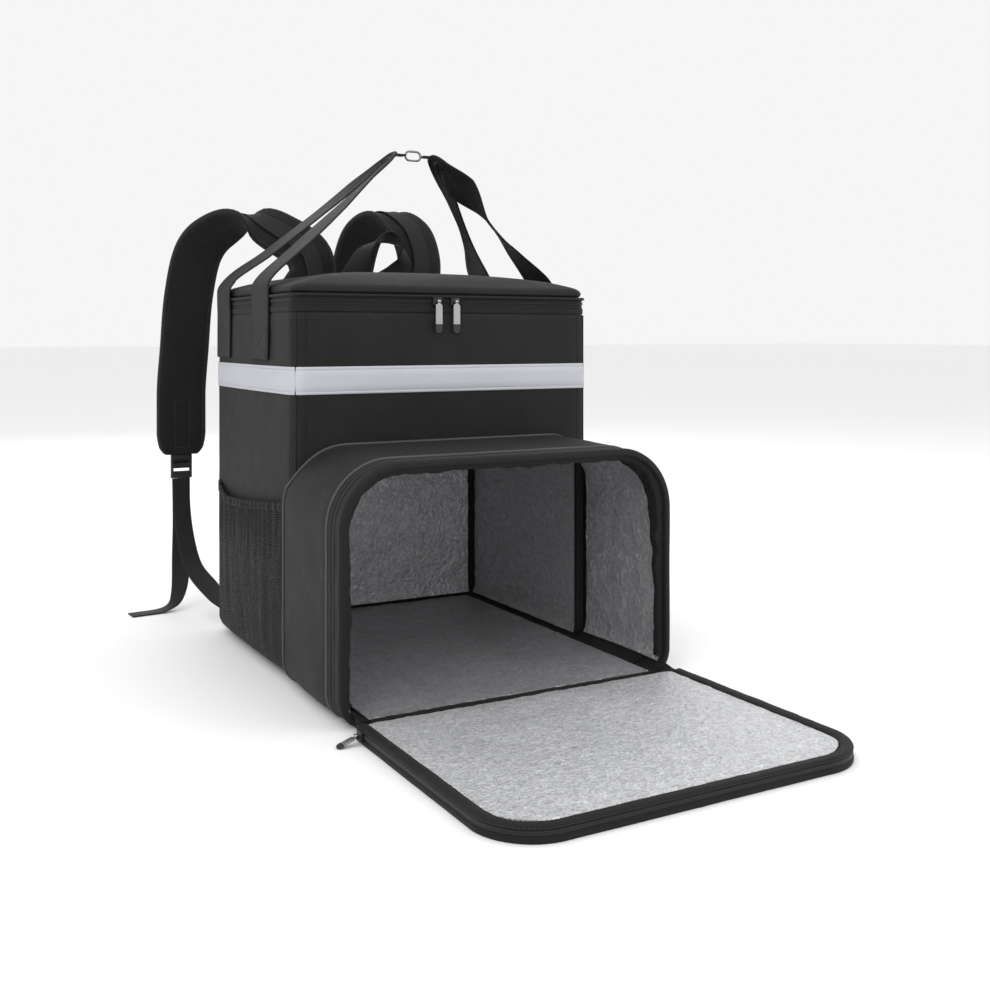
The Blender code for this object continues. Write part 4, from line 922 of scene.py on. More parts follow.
@dataclass
class BodyShell(Maker):
    """Base, walls, lid's zip band and reflective band of the main body."""

    step: float = 0.0055
    pucker_length: float = 0.013
    hem_sink: float = 0.0009
    channel: float = 0.062
    foot_rows: tuple = (0.0095, 0.0125, 0.016, 0.020, 0.0245)
    band_foot: float = 0.332
    band_height: float = 0.032
    zip_line: float = 0.441

    def stations(self, low: float, high: float, step: float | None = None) -> list[float]:
        """Return evenly spread places along the skin."""
        return spread(low, high, max(int((high - low) / (step or self.step)), 2))

    def shoulder_drop(self, s: float) -> float:
        """Return how far the compartment's top has curved down at a place on the front."""
        bay = self.bay
        off = max(abs(s) - (bay.width / 2 - bay.top_rounding), 0.0)
        return bay.top_rounding - math.sqrt(max(bay.top_rounding ** 2 - off ** 2, 0.0))

    def wall_piece(self, name: str, low: float, high: float, foot: float, top: float, seed: float,
                   drop: Callable[[float], float] | None = None) -> Object:
        """Build a padded wall between two places along the skin and two heights.

        Args:
            name: name of the wall.
            low: first place along the skin.
            high: last place along the skin.
            foot: height of its foot.
            top: height of its top.
            seed: seed of its unevenness.
            drop: returns how far the foot hangs lower at a place.

        Returns:
            The wall.
        """
        rows = self.stations(foot, top)
        if foot < self.body.foot_rounding:
            rows = [foot, *self.foot_rows] + [z for z in rows if z > 0.028]

        def pair(s: float, row: float) -> tuple[Vector, Vector]:
            z = top - (top - row) * (1 + (drop(s) if drop else 0.0) / (top - foot))
            rim = min(s - low, high - s, row - foot, top - row)
            place = self.body.skin(s, z)
            out = relief(place, seed, 0.0011, 0.0005) * fade(rim, 0.0, 0.03)
            pucker = math.sin((s + z) * 2 * math.pi / self.pucker_length + 3 * noise.noise(place * 60))
            out += 0.00035 * pucker * fade(rim, 0.0, 0.004) * (1 - fade(rim, 0.006, 0.022))
            out -= self.hem_sink * (1 - fade(rim, 0.0, 0.008))
            return self.body.skin(s, z, out), self.body.skin(s, z, -self.body.wall)

        item = walled(name, grids(self.stations(low, high), rows, pair), self.finishes.oxford)
        return item

    def build_walls(self) -> None:
        """Build the two sides, the front, the back and the base."""
        front = self.body.lengths()[2]
        foot = self.body.wall + GAP
        for side, sign in (("left", -1), ("right", 1)):
            low, high = sorted((sign * front / 2, sign * self.body.reach))
            item = self.wall_piece(f"{side}_wall", low, high, foot, self.body.panel_top, 3.1 + sign)
            self.place(item, "oxford", f"{side}_side_panel")
        item = self.wall_piece("front_wall", -front / 2 + GAP, front / 2 - GAP,
                               self.bay.height - self.body.wall, self.body.panel_top, 7.7, self.shoulder_drop)
        self.place(item, "oxford", "front_panel")
        self.build_back(foot)
        self.cad_cloth("base_cloth", "base_panel")

    def build_back(self, foot: float) -> None:
        """Build the flat padded back with its quilted channels."""
        half = self.body.half_width - self.body.corner - GAP
        top = self.body.seam - GAP

        def pair(x: float, z: float) -> tuple[Vector, Vector]:
            tuck = self.body.tuck(z)
            rim = min(half - abs(x), z - foot, top - z)
            drop = 0.0010 * (1 - fade(rim, 0.0, 0.008))
            drop += 0.0012 * math.exp(-((abs(x) - self.channel) / 0.004) ** 2) * fade(z, 0.05, 0.06)
            uneven = relief(Vector((x, self.body.half_depth, z)), 5.5, 0.0004, 0.0002)
            drop -= min(uneven, 0.0) * fade(rim, 0.0, 0.03)
            return (Vector((x, self.body.half_depth - tuck - drop, z)),
                    Vector((x, self.body.half_depth - self.body.wall - tuck, z)))

        rows = [foot, *self.foot_rows] + self.stations(0.03, top)
        item = walled("back_wall", grids(self.stations(-half, half), rows, pair), self.finishes.oxford)
        self.place(item, "oxford", "back_panel")

    def build_band(self, name: str, profile: Sequence[tuple[float, float]], under: float,
                   lift: Callable[[float], float], material: Material, sharp: float) -> Object:
        """Build a strip round the front and the sides.

        Args:
            name: name of the strip.
            profile: height and distance outside the skin of each row.
            under: distance outside the skin of its inner face.
            lift: returns how far it stands off at a place.
            material: its finish.
            sharp: angle of its sharp edges.

        Returns:
            The strip.
        """
        def pair(s: float, row: tuple[float, float]) -> tuple[Vector, Vector]:
            return self.body.skin(s, row[0], row[1] + lift(s)), self.body.skin(s, row[0], under)

        places = self.stations(-self.body.reach, self.body.reach)
        return walled(name, grids(places, profile, pair), material, sharp)

    def line_round(self, z: float, out: float, step: float | None = None) -> Line:
        """Return a line of (point, facing) round the front and the sides."""
        return [(self.body.skin(s, z, out), self.body.facing(s))
                for s in self.stations(-self.body.reach, self.body.reach, step)]

    def build_zip_band(self) -> None:
        """Build the lid's zip tape with its teeth."""
        foot, top = self.body.panel_top + GAP, self.body.seam - GAP
        profile = ((foot, -0.0008), (foot + 0.001, 0.0), (foot + 0.0065, 0.0002), (foot + 0.0075, -0.0009),
                   (self.zip_line - 0.0032, -0.0011), (self.zip_line, -0.0012), (self.zip_line + 0.0032, -0.0011),
                   (top - 0.0012, -0.0009), (top, -0.0004))
        item = self.build_band("lid_zip_tape", profile, -self.body.wall,
                               lambda s: 0.00025 * noise.noise(self.body.skin(s, top) * 30),
                               self.finishes.tape, 35.0)
        self.place(item, "zip_tape", "lid_zip_band")
        lines = [self.line_round(self.zip_line + row, -0.0009, 0.004) for row in (-0.0009, 0.0009)]
        self.teeth("lid_zip_teeth", lines, 0.0017)

    def build_reflective(self) -> None:
        """Build the reflective band with its stitched edges."""
        low, high = self.band_foot, self.band_foot + self.band_height
        edge = ((0.0, 0.0004), (0.0008, 0.0010), (0.0030, 0.0010), (0.0036, 0.0007), (0.0042, 0.0011))
        profile = [(low + rise, out) for rise, out in edge]
        profile += [(lerp(low, high, 0.35), 0.0012), (lerp(low, high, 0.65), 0.0012)]
        profile += [(high - rise, out) for rise, out in reversed(edge)]
        item = self.build_band("reflective_tape", profile, 0.0002,
                               lambda s: 0.0004 + 0.0004 * noise.noise(self.body.skin(s, low) * 22),
                               self.finishes.reflective, 60.0)
        self.place(item, "reflective", "reflective_band")
        lines = [self.line_round(z, 0.0013) for z in (low + 0.0036, high - 0.0036)]
        self.stitches("tape_stitches", lines, self.finishes.pale_thread)

    def build_seams(self) -> None:
        """Build the corner piping, the lid's piping and the hem stitches."""
        _side, turn, front = self.body.lengths()
        for side, sign in (("left", -1), ("right", 1)):
            s = sign * (front / 2 + turn * 0.5)
            path = [self.body.skin(s, z, -0.0002) for z in self.stations(0.012, self.body.panel_top - 0.001, 0.01)]
            self.place(self.tube(f"corner_piping_{side}", path, 0.0015, self.finishes.binding), "trim")
        loop = [point for point, _out in self.line_round(self.body.seam, 0.0004, 0.008)]
        self.place(self.tube("lid_seam_piping", loop, 0.0018, self.finishes.binding), "trim")
        lines = [self.line_round(self.body.panel_top - below, -0.0004) for below in (0.003, 0.0065)]
        self.stitches("hem_stitches", lines)

    def build(self) -> None:
        """Build the whole body."""
        self.build_walls()
        self.build_zip_band()
        self.build_reflective()
        self.build_seams()


@dataclass
class Lid(Maker):
    """Crowned padded lid."""

    rise: float = 0.033
    profile: tuple = ((0.0, 0.955), (0.05, 0.985), (0.12, 0.9965), (0.20, 1.0), (0.32, 0.992), (0.44, 0.962),
                      (0.56, 0.900), (0.68, 0.800), (0.78, 0.690), (0.86, 0.570), (0.92, 0.440), (0.965, 0.290),
                      (0.99, 0.150))
    under: tuple = ((0.66, 0.30), (0.55, 0.55), (0.38, 0.78), (0.16, 0.92), (0.0, 0.955))

    def outline(self, scale: float, z: float, count: int = 168) -> list[Vector]:
        """Return the lid's rounded outline at a scale and height."""
        body = self.body
        total = 2 * body.reach + body.lengths()[2]
        points = []
        for k in range(count):
            s = lerp(-total / 2, total / 2, k / count)
            if abs(s) <= body.reach:
                x, y, _nx, _ny, _swell = body.wrap(s)
            else:
                x = math.copysign(body.half_width - body.corner - (abs(s) - body.reach), s)
                y = body.half_depth
            points.append(Vector((x * scale, y * scale, z)))
        return points

    def build(self) -> None:
        """Build the lid, puff it and sew its edge."""
        seam = self.body.seam
        draft = Draft()
        sections = [self.outline(scale, seam + share * self.rise) for share, scale in self.profile]
        for section in sections:
            for point in section:
                point.z += relief(point, 2.2, 0.0010, 0.0004) * fade(point.z, seam + 0.004, seam + 0.02)
        draft.loft([self.outline(scale, seam + share * self.rise) for share, scale in self.under] + sections[1:])
        item = draft.build("lid_shell", self.finishes.oxford)
        swell(item, 0.0002, 0.0040, 0.0045, lambda point: 1 - fade(point.z, seam + 0.006, seam + 0.016))
        box_cloth(item)
        self.place(item, "oxford", "lid")
        lines = []
        for scale, lift in ((0.985, 0.006), (0.958, 0.0105)):
            outline = self.outline(scale, seam + lift)
            hits = [item.closest_point_on_mesh(point) for point in outline + outline[:1]]
            lines.append([(place + facing * 0.0001, facing.copy()) for hit, place, facing, _index in hits if hit])
        self.stitches("lid_stitches", lines)


@dataclass
class FrontCompartment(Maker):
    """Gusset, mouth band, piping and floor of the open compartment."""

    steps: int = 190
    band_rows: tuple = ((0.0, -0.0012), (0.0015, -0.0003), (0.010, -0.0002), (0.0112, -0.0011), (0.0145, -0.0013),
                        (0.018, -0.0011), (0.0192, -0.0002))
    rim_rows: tuple = ((0.0085, -0.0004, -0.0070), (0.0070, 0.0006, -0.0070), (0.0045, 0.0014, -0.0071),
                       (0.0018, 0.0009, -0.0066), (0.0003, -0.0009, -0.0055), (0.0, -0.0030, -0.0040))

    def places(self, low: float = -1.0, high: float = 1.0) -> list[float]:
        """Return evenly spread places on the section."""
        return spread(low, high, self.steps)

    def build_gusset(self) -> None:
        """Build the sides and top as one padded strip with soft folds."""
        bay = self.bay

        def pair(t: float, d: float) -> list[Vector]:
            share = d * (bay.front + bay.body.half_depth) / (bay.mouth + bay.body.half_depth)
            rest, facing = bay.section(t, share)
            rest.y = lerp(bay.seam_depth(rest.x, rest.z, bay.groove), bay.front, d)
            rim = min(d, 1 - d) * bay.gusset
            calm = fade(rim, 0.0, 0.025) * fade(1 - abs(t), 0.0, 0.06)
            out = relief(rest, 9.4, 0.0012, 0.0005) * calm
            fold = noise.noise(Vector((rest.x * 16, rest.z * 16, rest.y * 3)))
            out += 0.0013 * fold * fade(facing.z, 0.2, 0.9) * fade(rim, 0.0, 0.012)
            out -= 0.0009 * (1 - fade(rim, 0.0, 0.007))
            points = [bay.section(t, share, off)[0] for off in (out, -self.body.wall)]
            for point in points:
                point.y = rest.y
            return points

        item = walled("gusset_cloth", grids(self.places(), spread(0.0, 1.0, 22), pair), self.finishes.oxford)
        self.place(item, "oxford", "compartment_gusset")

    def build_mouth_band(self) -> None:
        """Build the zip band with its rolled rim and its teeth."""
        bay = self.bay
        rear, mouth = bay.band_rear, bay.mouth
        profile = [(rear - back, out, -self.body.wall) for back, out in self.band_rows]
        profile += [(mouth + ahead, out, under) for ahead, out, under in self.rim_rows]

        def pair(t: float, row: tuple[float, float, float]) -> list[Vector]:
            y, out, under = row
            edge = bay.point(t, mouth)
            wave, slack = 0.0005 * noise.noise(edge * 24), 0.0012 * noise.noise(edge * 9)
            calm = fade(1 - abs(t), 0.0, 0.05)
            y += slack * calm * bay.share(y)
            points = [bay.point(t, y, out + wave * calm), bay.point(t, y, under)]
            for point in points:
                point.z = max(point.z, GAP)
            return points

        item = walled("mouth_zip_band", grids(self.places(), profile, pair), self.finishes.tape, 40.0)
        self.place(item, "zip_tape", "compartment_mouth_band")
        self.teeth("mouth_zip_teeth", [self.line_at(rear - 0.0147 + shift, -0.0009) for shift in (-0.0009, 0.0009)])
        self.stitches("mouth_stitches", [self.line_at(rear - 0.0078, 0.0), self.line_at(rear - 0.0216, 0.0),
                                         self.line_at(mouth + 0.0078, 0.0001)])

    def line_at(self, y: float, out: float, reach: float = 0.985, share: float = 1.0) -> Line:
        """Return a line of (point, facing) round the section at a depth."""
        return [(self.bay.point(t, y, out), self.bay.section(t, share)[1]) for t in self.places(-reach, reach)]

    def build_piping(self) -> None:
        """Build the two light cords and the seam stitches beside them."""
        bay = self.bay
        sunk = -0.0004

        def seam(t: float, groove: float, ahead: float) -> tuple[Vector, Vector]:
            place, facing = bay.section(t, 0.0, sunk)
            place.y = bay.seam_depth(place.x, place.z, groove) - ahead
            return place, facing

        places = spread(-0.97, 0.97, 150)
        rear = [seam(t, bay.groove / 2, 0.0)[0] for t in places]
        self.place(self.tube("rear_piping", rear, 0.0018, self.finishes.trim), "trim", "seam_piping")
        front = [bay.point(t, bay.front - bay.groove / 2, sunk) for t in places]
        self.place(self.tube("front_piping", front, 0.0018, self.finishes.trim), "trim", "mouth_piping")
        self.stitches("gusset_stitches", [[seam(t, bay.groove, 0.0030) for t in self.places(-0.97, 0.97)],
                                          self.line_at(bay.front + 0.0030, sunk, 0.97, 0.9)])

    def build(self) -> None:
        """Build the whole compartment."""
        self.build_gusset()
        self.build_mouth_band()
        self.build_piping()
        self.cad_cloth("bay_floor_cloth", "compartment_base")


@dataclass
class FoilLining(Maker):
    """Crinkled foil lining of the body and the compartment."""

    foil: float = 0.001

    @staticmethod
    def crinkle(point: Vector, depth: float, seed: float) -> float:
        """Return how far crinkled foil stands off its wall at a point."""
        place = point + Vector((seed, seed, seed)) * 0.37
        ridge = 1.0 - abs(noise.noise(place * 26.0)) * 2.2
        small = 1.0 - abs(noise.noise(place * 74.0)) * 2.0
        fine = noise.noise(place * 190.0)
        return depth * (0.5 * max(ridge, 0.0) ** 2 + 0.32 * max(small, 0.0) ** 2 + 0.18 * fine)

    def lining(self, name: str, node: str, columns: Sequence[float], rows: Sequence[float], seat: Callable,
               flat: tuple[float, float], depth: float = 0.0020, seed: float = 0.0) -> None:
        """Build one sheet of lining.

        Args:
            name: name of the sheet.
            node: CAD node that it replaces.
            columns: places across the sheet.
            rows: places along it.
            seat: returns the point on the wall and the inward direction at a column and a row.
            flat: width and length before it is sewn in; not used.
            depth: depth of its crinkles.
            seed: seed of its crinkles.
        """
        def pair(column: float, row: float) -> tuple[Vector, Vector]:
            point, inward = seat(column, row)
            return point + inward * (self.foil + self.crinkle(point, depth, seed)), point

        item = walled(name, grids(columns, rows, pair), self.finishes.lining, 80.0)
        self.place(item, "foil", node)

    def build(self) -> None:
        """Build the five sheets of lining."""
        body, bay = self.body, self.bay
        seat = body.wall + GAP
        across = bay.width / 2 - bay.foot_rounding - 0.0005
        near, far = bay.mouth + 0.002, body.half_depth - body.wall - 0.0105
        self.lining("floor_lining", "foil_floor", spread(-across, across, 78), spread(near, far, 100),
                    lambda x, y: (Vector((x, y, seat)), Vector((0, 0, 1))), (2 * across, far - near), 0.0013, 1.0)
        rows = spread(0.012, body.panel_top, 92)
        length = body.half_depth - body.corner
        for side, sign in (("left", -1), ("right", 1)):
            low, high = sorted((body.side_s(sign, -length), body.side_s(sign, length)))
            self.lining(f"{side}_lining", f"foil_{side}", spread(low, high, 60), rows,
                        lambda s, z: (body.skin(s, z, -seat), -body.facing(s)), (2 * length, 0.415),
                        seed=3.0 + sign)
        across = body.half_width - body.corner - 0.0006
        self.lining("back_lining", "foil_back", spread(-across, across, 80), rows,
                    lambda x, z: (Vector((x, body.half_depth - seat - body.tuck(z), z)), Vector((0, -1, 0))),
                    (2 * across, 0.415), seed=7.0)
        depths = spread(-body.half_depth - 0.0006, bay.mouth + 0.0085, 34)
        self.lining("bay_lining", "foil_compartment", spread(-0.945, 0.945, 190), depths,
                    lambda t, y: (bay.point(t, y, -seat), -bay.section(t, bay.share(y))[1]), (0.86, 0.155),
                    0.0026, 11.0)


@dataclass
class Flap(Maker):
    """Compartment's flap, lying open on the floor."""

    width: float = 0.406
    length: float = 0.298
    thickness: float = 0.015
    band: float = 0.013
    far_rounding: float = 0.058
    strip_length: float = 0.026
    strip_height: float = 0.009
    strip_shape: tuple = ((0.0, 0.80), (0.12, 0.98), (0.35, 0.72), (0.6, 0.66), (0.8, 0.92), (1.0, 1.0))

    @property
    def near(self) -> float:
        """Return the depth of the flap's near edge."""
        return self.bay.mouth - GAP - self.strip_length - GAP

    @property
    def far(self) -> float:
        """Return the depth of the flap's far edge."""
        return self.bay.mouth - GAP - self.strip_length - self.length

    def raised(self, inset: float, near_inset: float, z: float, upward: bool = False) -> Line:
        """Return the rim's line of (point, facing) at a height, facing outwards or up."""
        return [(point + UP * z, UP if upward else out) for point, out in self.rim(inset, near_inset)]

    def rim(self, inset: float, near_inset: float = 0.0) -> Line:
        """Return (point, outward direction) round the two sides and the far edge."""
        half = self.width / 2 - inset
        far = self.far + inset
        radius = self.far_rounding - inset
        near = self.near - near_inset
        straight = near - (far + radius)
        line = [(Vector((-half, near - straight * k / 48, 0.0)), Vector((-1.0, 0.0, 0.0))) for k in range(48)]
        for k in range(17):
            angle = math.radians(180 + 90 * k / 16)
            out = Vector((math.cos(angle), math.sin(angle), 0.0))
            line.append((Vector((-half + radius, far + radius, 0.0)) + out * radius, out))
        across = half - radius
        line += [(Vector((-across + across * k / 30, far, 0.0)), Vector((0.0, -1.0, 0.0))) for k in range(1, 31)]
        return line + [(Vector((-p.x, p.y, p.z)), Vector((-d.x, d.y, d.z))) for p, d in reversed(line[:-1])]

    def build_panel(self) -> None:
        """Build the padded panel under the foil by cloth simulation."""
        draft = Draft()
        inset = self.band + GAP + 0.0006
        top = self.thickness - 0.0030
        draft.loft([[point for point, _out in self.raised(inset + extra, GAP, z)] for extra, z in (
            (0.002, 0.0002), (0.0, 0.002), (0.0, top - 0.003), (0.003, top))])
        item = draft.build("flap_pad", self.finishes.oxford)
        swell(item, 0.0010, 0.0016, 0.0045, lambda point: 1 - fade(point.z, 0.0005, 0.003))
        low = min(vertex.co.z for vertex in item.data.vertices)
        for vertex in item.data.vertices:
            vertex.co.z = max(vertex.co.z - min(low, 0.0), 0.0001)
        box_cloth(item)
        self.place(item, "oxford", "flap_panel")

    def build_rim(self) -> None:
        """Build the zip rim with its binding, its teeth and its stitches."""
        thick = self.thickness
        profile = ((0.0006, 0.0002, 0.0002), (0.0001, 0.0012, 0.0002), (0.0, 0.0040, 0.004), (0.0009, 0.0048, 0.004),
                   (0.0013, 0.0072, 0.0072), (0.0013, 0.0098, 0.0098), (0.0008, 0.0118, 0.0104),
                   (0.0002, 0.0128, 0.0108), (0.0010, 0.0143, 0.0112), (0.0026, thick, 0.0114),
                   (0.0050, thick + 0.0001, 0.0116), (0.0082, thick - 0.0003, 0.0118),
                   (0.0110, thick - 0.0012, 0.0120), (0.0128, thick - 0.0022, 0.0122))
        lines = [self.rim(inset, GAP) for inset, _z, _under in profile]
        inner = self.rim(self.band, GAP)

        def pair(k: int, row: int) -> tuple[Vector, Vector]:
            place = lines[0][k][0]
            wave = 0.0006 * noise.noise(place * 26) + 0.0003 * noise.noise(place * 80)
            point, out = lines[row][k]
            _inset, z, under = profile[row]
            lift = wave * fade(z, 0.006, 0.014)
            return point + Vector((0, 0, z + lift)) + out * wave * 0.6, inner[k][0] + Vector((0, 0, under))

        sides = grids(range(len(inner)), range(len(profile)), pair)
        self.place(walled("flap_zip_rim", sides, self.finishes.tape, 45.0), "zip_tape", "flap_zip_band")
        self.teeth("flap_zip_teeth", [self.raised(0.0011, 0.004, z) for z in (0.0076, 0.0094)],
                   size=(0.0011, 0.0022, 0.0011))
        self.stitches("flap_stitches", [self.raised(0.0090, 0.004, thick - 0.0001, upward=True),
                                        self.raised(0.0003, 0.004, 0.0125)])

    def build_foil(self) -> None:
        """Build the crinkled foil face with a soft, puffed surface."""
        inset = self.band + 0.0012
        base = self.thickness - 0.0022
        half = self.width / 2 - inset
        far = self.far + inset
        radius = self.far_rounding - inset
        near = self.near - 0.0006

        def pair(x: float, share: float) -> tuple[Vector, Vector]:
            off = max(abs(x) - (half - radius), 0.0)
            edge = far + radius - math.sqrt(max(radius ** 2 - off ** 2, 0.0))
            y = lerp(near, edge, share)
            rim = min(half - abs(x), y - edge + 0.5 * off, near - y + 0.01)
            place = Vector((x, y, base))
            puff = 0.0018 * fade(rim, 0.0, 0.03)
            wave = 0.0008 * noise.noise(place * 14.0)
            lift = FoilLining.crinkle(place, 0.0012, 17.0) + wave * fade(rim, 0.0, 0.02)
            return (Vector((x, y, base + puff + lift - 0.0006 * (1 - fade(rim, 0.0, 0.006)))),
                    Vector((x, y, base - 0.0004)))

        sides = grids(spread(-half, half, 150), spread(0.0, 1.0, 110), pair)
        item = walled("flap_foil_face", sides, self.finishes.foil, 80.0)
        self.place(item, "foil", "flap_foil")

    def build_hinge(self) -> None:
        """Build the ribbed cloth strip between the floor and the flap."""
        reach = self.bay.width / 2 - self.bay.foot_rounding
        start = self.bay.mouth - GAP
        length = self.strip_length - 2 * GAP

        def pair(x: float, along: float) -> tuple[Vector, Vector]:
            y = start - along * length
            z = table_value(self.strip_shape, along) * self.strip_height
            z += 0.0009 * noise.noise(Vector((x * 95, y * 30, 0.0)))
            z += 0.0007 * noise.noise(Vector((x * 30, y * 60, 4.0)))
            z += 0.00045 * math.sin(along * 4 * math.pi)
            return Vector((x, y, z)), Vector((x, y, 0.0002))

        sides = grids(spread(-reach, reach, 140), spread(0.0, 1.0, 24), pair)
        self.place(walled("hinge_cloth", sides, self.finishes.tape, 60.0), "oxford", "hinge_strip")
        lines = []
        for along in (0.14, 0.86):
            z = table_value(self.strip_shape, along) * self.strip_height + 0.0005
            lines.append([(Vector((x, start - along * length, z)), UP) for x in spread(-reach, reach, 90)])
        self.stitches("hinge_stitches", lines)

    def build_tape_ends(self) -> None:
        """Build the ends of zip tape that lead from the mouth to the rim."""
        low, high = self.bay.mouth + 0.004, self.near - 0.004
        for side, sign in (("left", -1), ("right", 1)):
            def pair(along: float, across: float) -> tuple[Vector, Vector]:
                x = sign * lerp(0.1765, lerp(0.1925, self.width / 2 - 0.001, along), across)
                y = lerp(low, high, along)
                z = lerp(0.0012 + 0.016 * across ** 2.2, 0.0100, fade(along, 0.0, 0.85))
                z += 0.0011 * noise.noise(Vector((x * 90, y * 60, 9.0))) * fade(along, 0.0, 0.3)
                return Vector((x, y, z + 0.0012)), Vector((x, y, z))

            sides = grids(spread(0.0, 1.0, 14), spread(0.0, 1.0, 8), pair)
            self.place(walled(f"tape_end_{side}", sides[::sign], self.finishes.tape, 60.0), "zip_tape")

    def build(self) -> None:
        """Build the whole flap."""
        self.build_tape_ends()
        self.build_panel()
        self.build_rim()
        self.build_foil()
        self.build_hinge()


@dataclass
class Pocket(Maker):
    """Gathered mesh pocket on the left side."""

    height: float = 0.208
    foot: float = 0.010
    half_length: float = 0.135
    fullness: float = 0.009
    binding: float = 0.010
    edge: tuple = ((-1.0, 1.000), (-0.6, 0.976), (-0.2, 0.952), (0.1, 0.938), (0.5, 0.924), (0.75, 0.948),
                   (0.9, 0.975), (1.0, 0.990))
    belly: tuple = ((0.00, 0.00), (0.12, 0.50), (0.35, 0.90), (0.65, 1.00), (0.95, 0.80), (1.00, 0.75))

    def top(self, along: float) -> float:
        """Return the height of the top edge at a share of the half length."""
        return self.height * table_value(self.edge, along)

    def point(self, along: float, z: float, out: float) -> Vector:
        """Return a point of the pocket at a place, a height and a distance outside."""
        top = self.top(along)
        full = self.fullness * table_value(self.belly, z / top) * (1 - along ** 4)
        gather = math.sin(along * 60 + 2.5 * noise.noise(Vector((along * 9, 0.0, z * 10))))
        near_top = fade(z, top - 0.09, top - 0.012)
        fold = 0.0016 * gather * near_top + 0.0016 * noise.noise(Vector((along * 8, z * 11, 2.0)))
        calm = fade(1 - abs(along), 0.0, 0.12) * fade(z, self.foot, self.foot + 0.03)
        body = self.body
        return body.skin(body.side_s(-1, along * self.half_length), z, 2 * GAP + full + out + fold * calm)

    def build(self) -> None:
        """Build the mesh sheet, its binding and its stitches."""
        columns = spread(-1.0, 1.0, 96)

        # Rows above the foot are shares of the way to the binding, written as negative numbers.
        def net(along: float, row: float) -> list[Vector]:
            brim = self.top(along) - self.binding + 0.001
            z = row if row > 0 else lerp(0.026, brim, -row)
            return [self.point(along, z, out) for out in (0.0009, 0.0001)]

        rows = [self.foot, 0.012, 0.0145, 0.018, 0.022] + [-share for share in spread(0.0, 1.0, 34)]
        item = walled("pocket_net", grids(columns, rows, net), self.finishes.pocket, 80.0)
        self.place(item, "pocket_mesh", "mesh_pocket")

        def tape(along: float, row: tuple[float, float]) -> tuple[Vector, Vector]:
            z = self.top(along) - row[0]
            return self.point(along, z, row[1]), self.point(along, z, 0.0)

        rows = ((self.binding, 0.0012), (self.binding - 0.0015, 0.0022), (0.006, 0.0023), (0.003, 0.0023),
                (0.0008, 0.0021), (0.0, 0.0014))
        item = walled("pocket_edge_binding", grids(columns, rows, tape), self.finishes.binding, 60.0)
        self.place(item, "trim", "pocket_binding")
        facing = Vector((-1, 0, 0))
        end = 0.985
        lines = [[(self.point(along, self.top(along) - drop, 0.0024), facing) for along in spread(-end, end, 90)]
                 for drop in (0.0020, 0.0080)]
        lines += [[(self.point(side, z, 0.0012), facing) for z in spread(0.02, self.top(side) - 0.012, 40)]
                  for side in (-end, end)]
        self.stitches("pocket_stitches", lines)


@dataclass
class MouthFacing(Maker):
    """Crumpled dark cloth that faces the inside of the mouth."""

    def build(self) -> None:
        """Build the facing as one crumpled strip."""
        bay = self.bay
        start = bay.mouth + 0.0055

        def pair(t: float, along: float) -> tuple[Vector, Vector]:
            y = start + lerp(0.010, 0.034, fade(1 - abs(t), 0.25, 0.7)) * along
            place = bay.point(t, y)
            crumple = abs(noise.noise(place * 34.0)) * 0.0042 + abs(noise.noise(place * 95.0)) * 0.0022
            crumple *= fade(along, 0.0, 0.2)
            seat = lerp(-0.0073, -0.0114, fade(y, start, bay.mouth + 0.0085))
            return bay.point(t, y, seat), bay.point(t, y, seat - 0.0008 - crumple)

        sides = grids(spread(-0.93, 0.93, 180), spread(0.0, 1.0, 18), pair)
        item = walled("mouth_facing", sides, self.finishes.oxford, 80.0)
        self.place(item, "oxford")


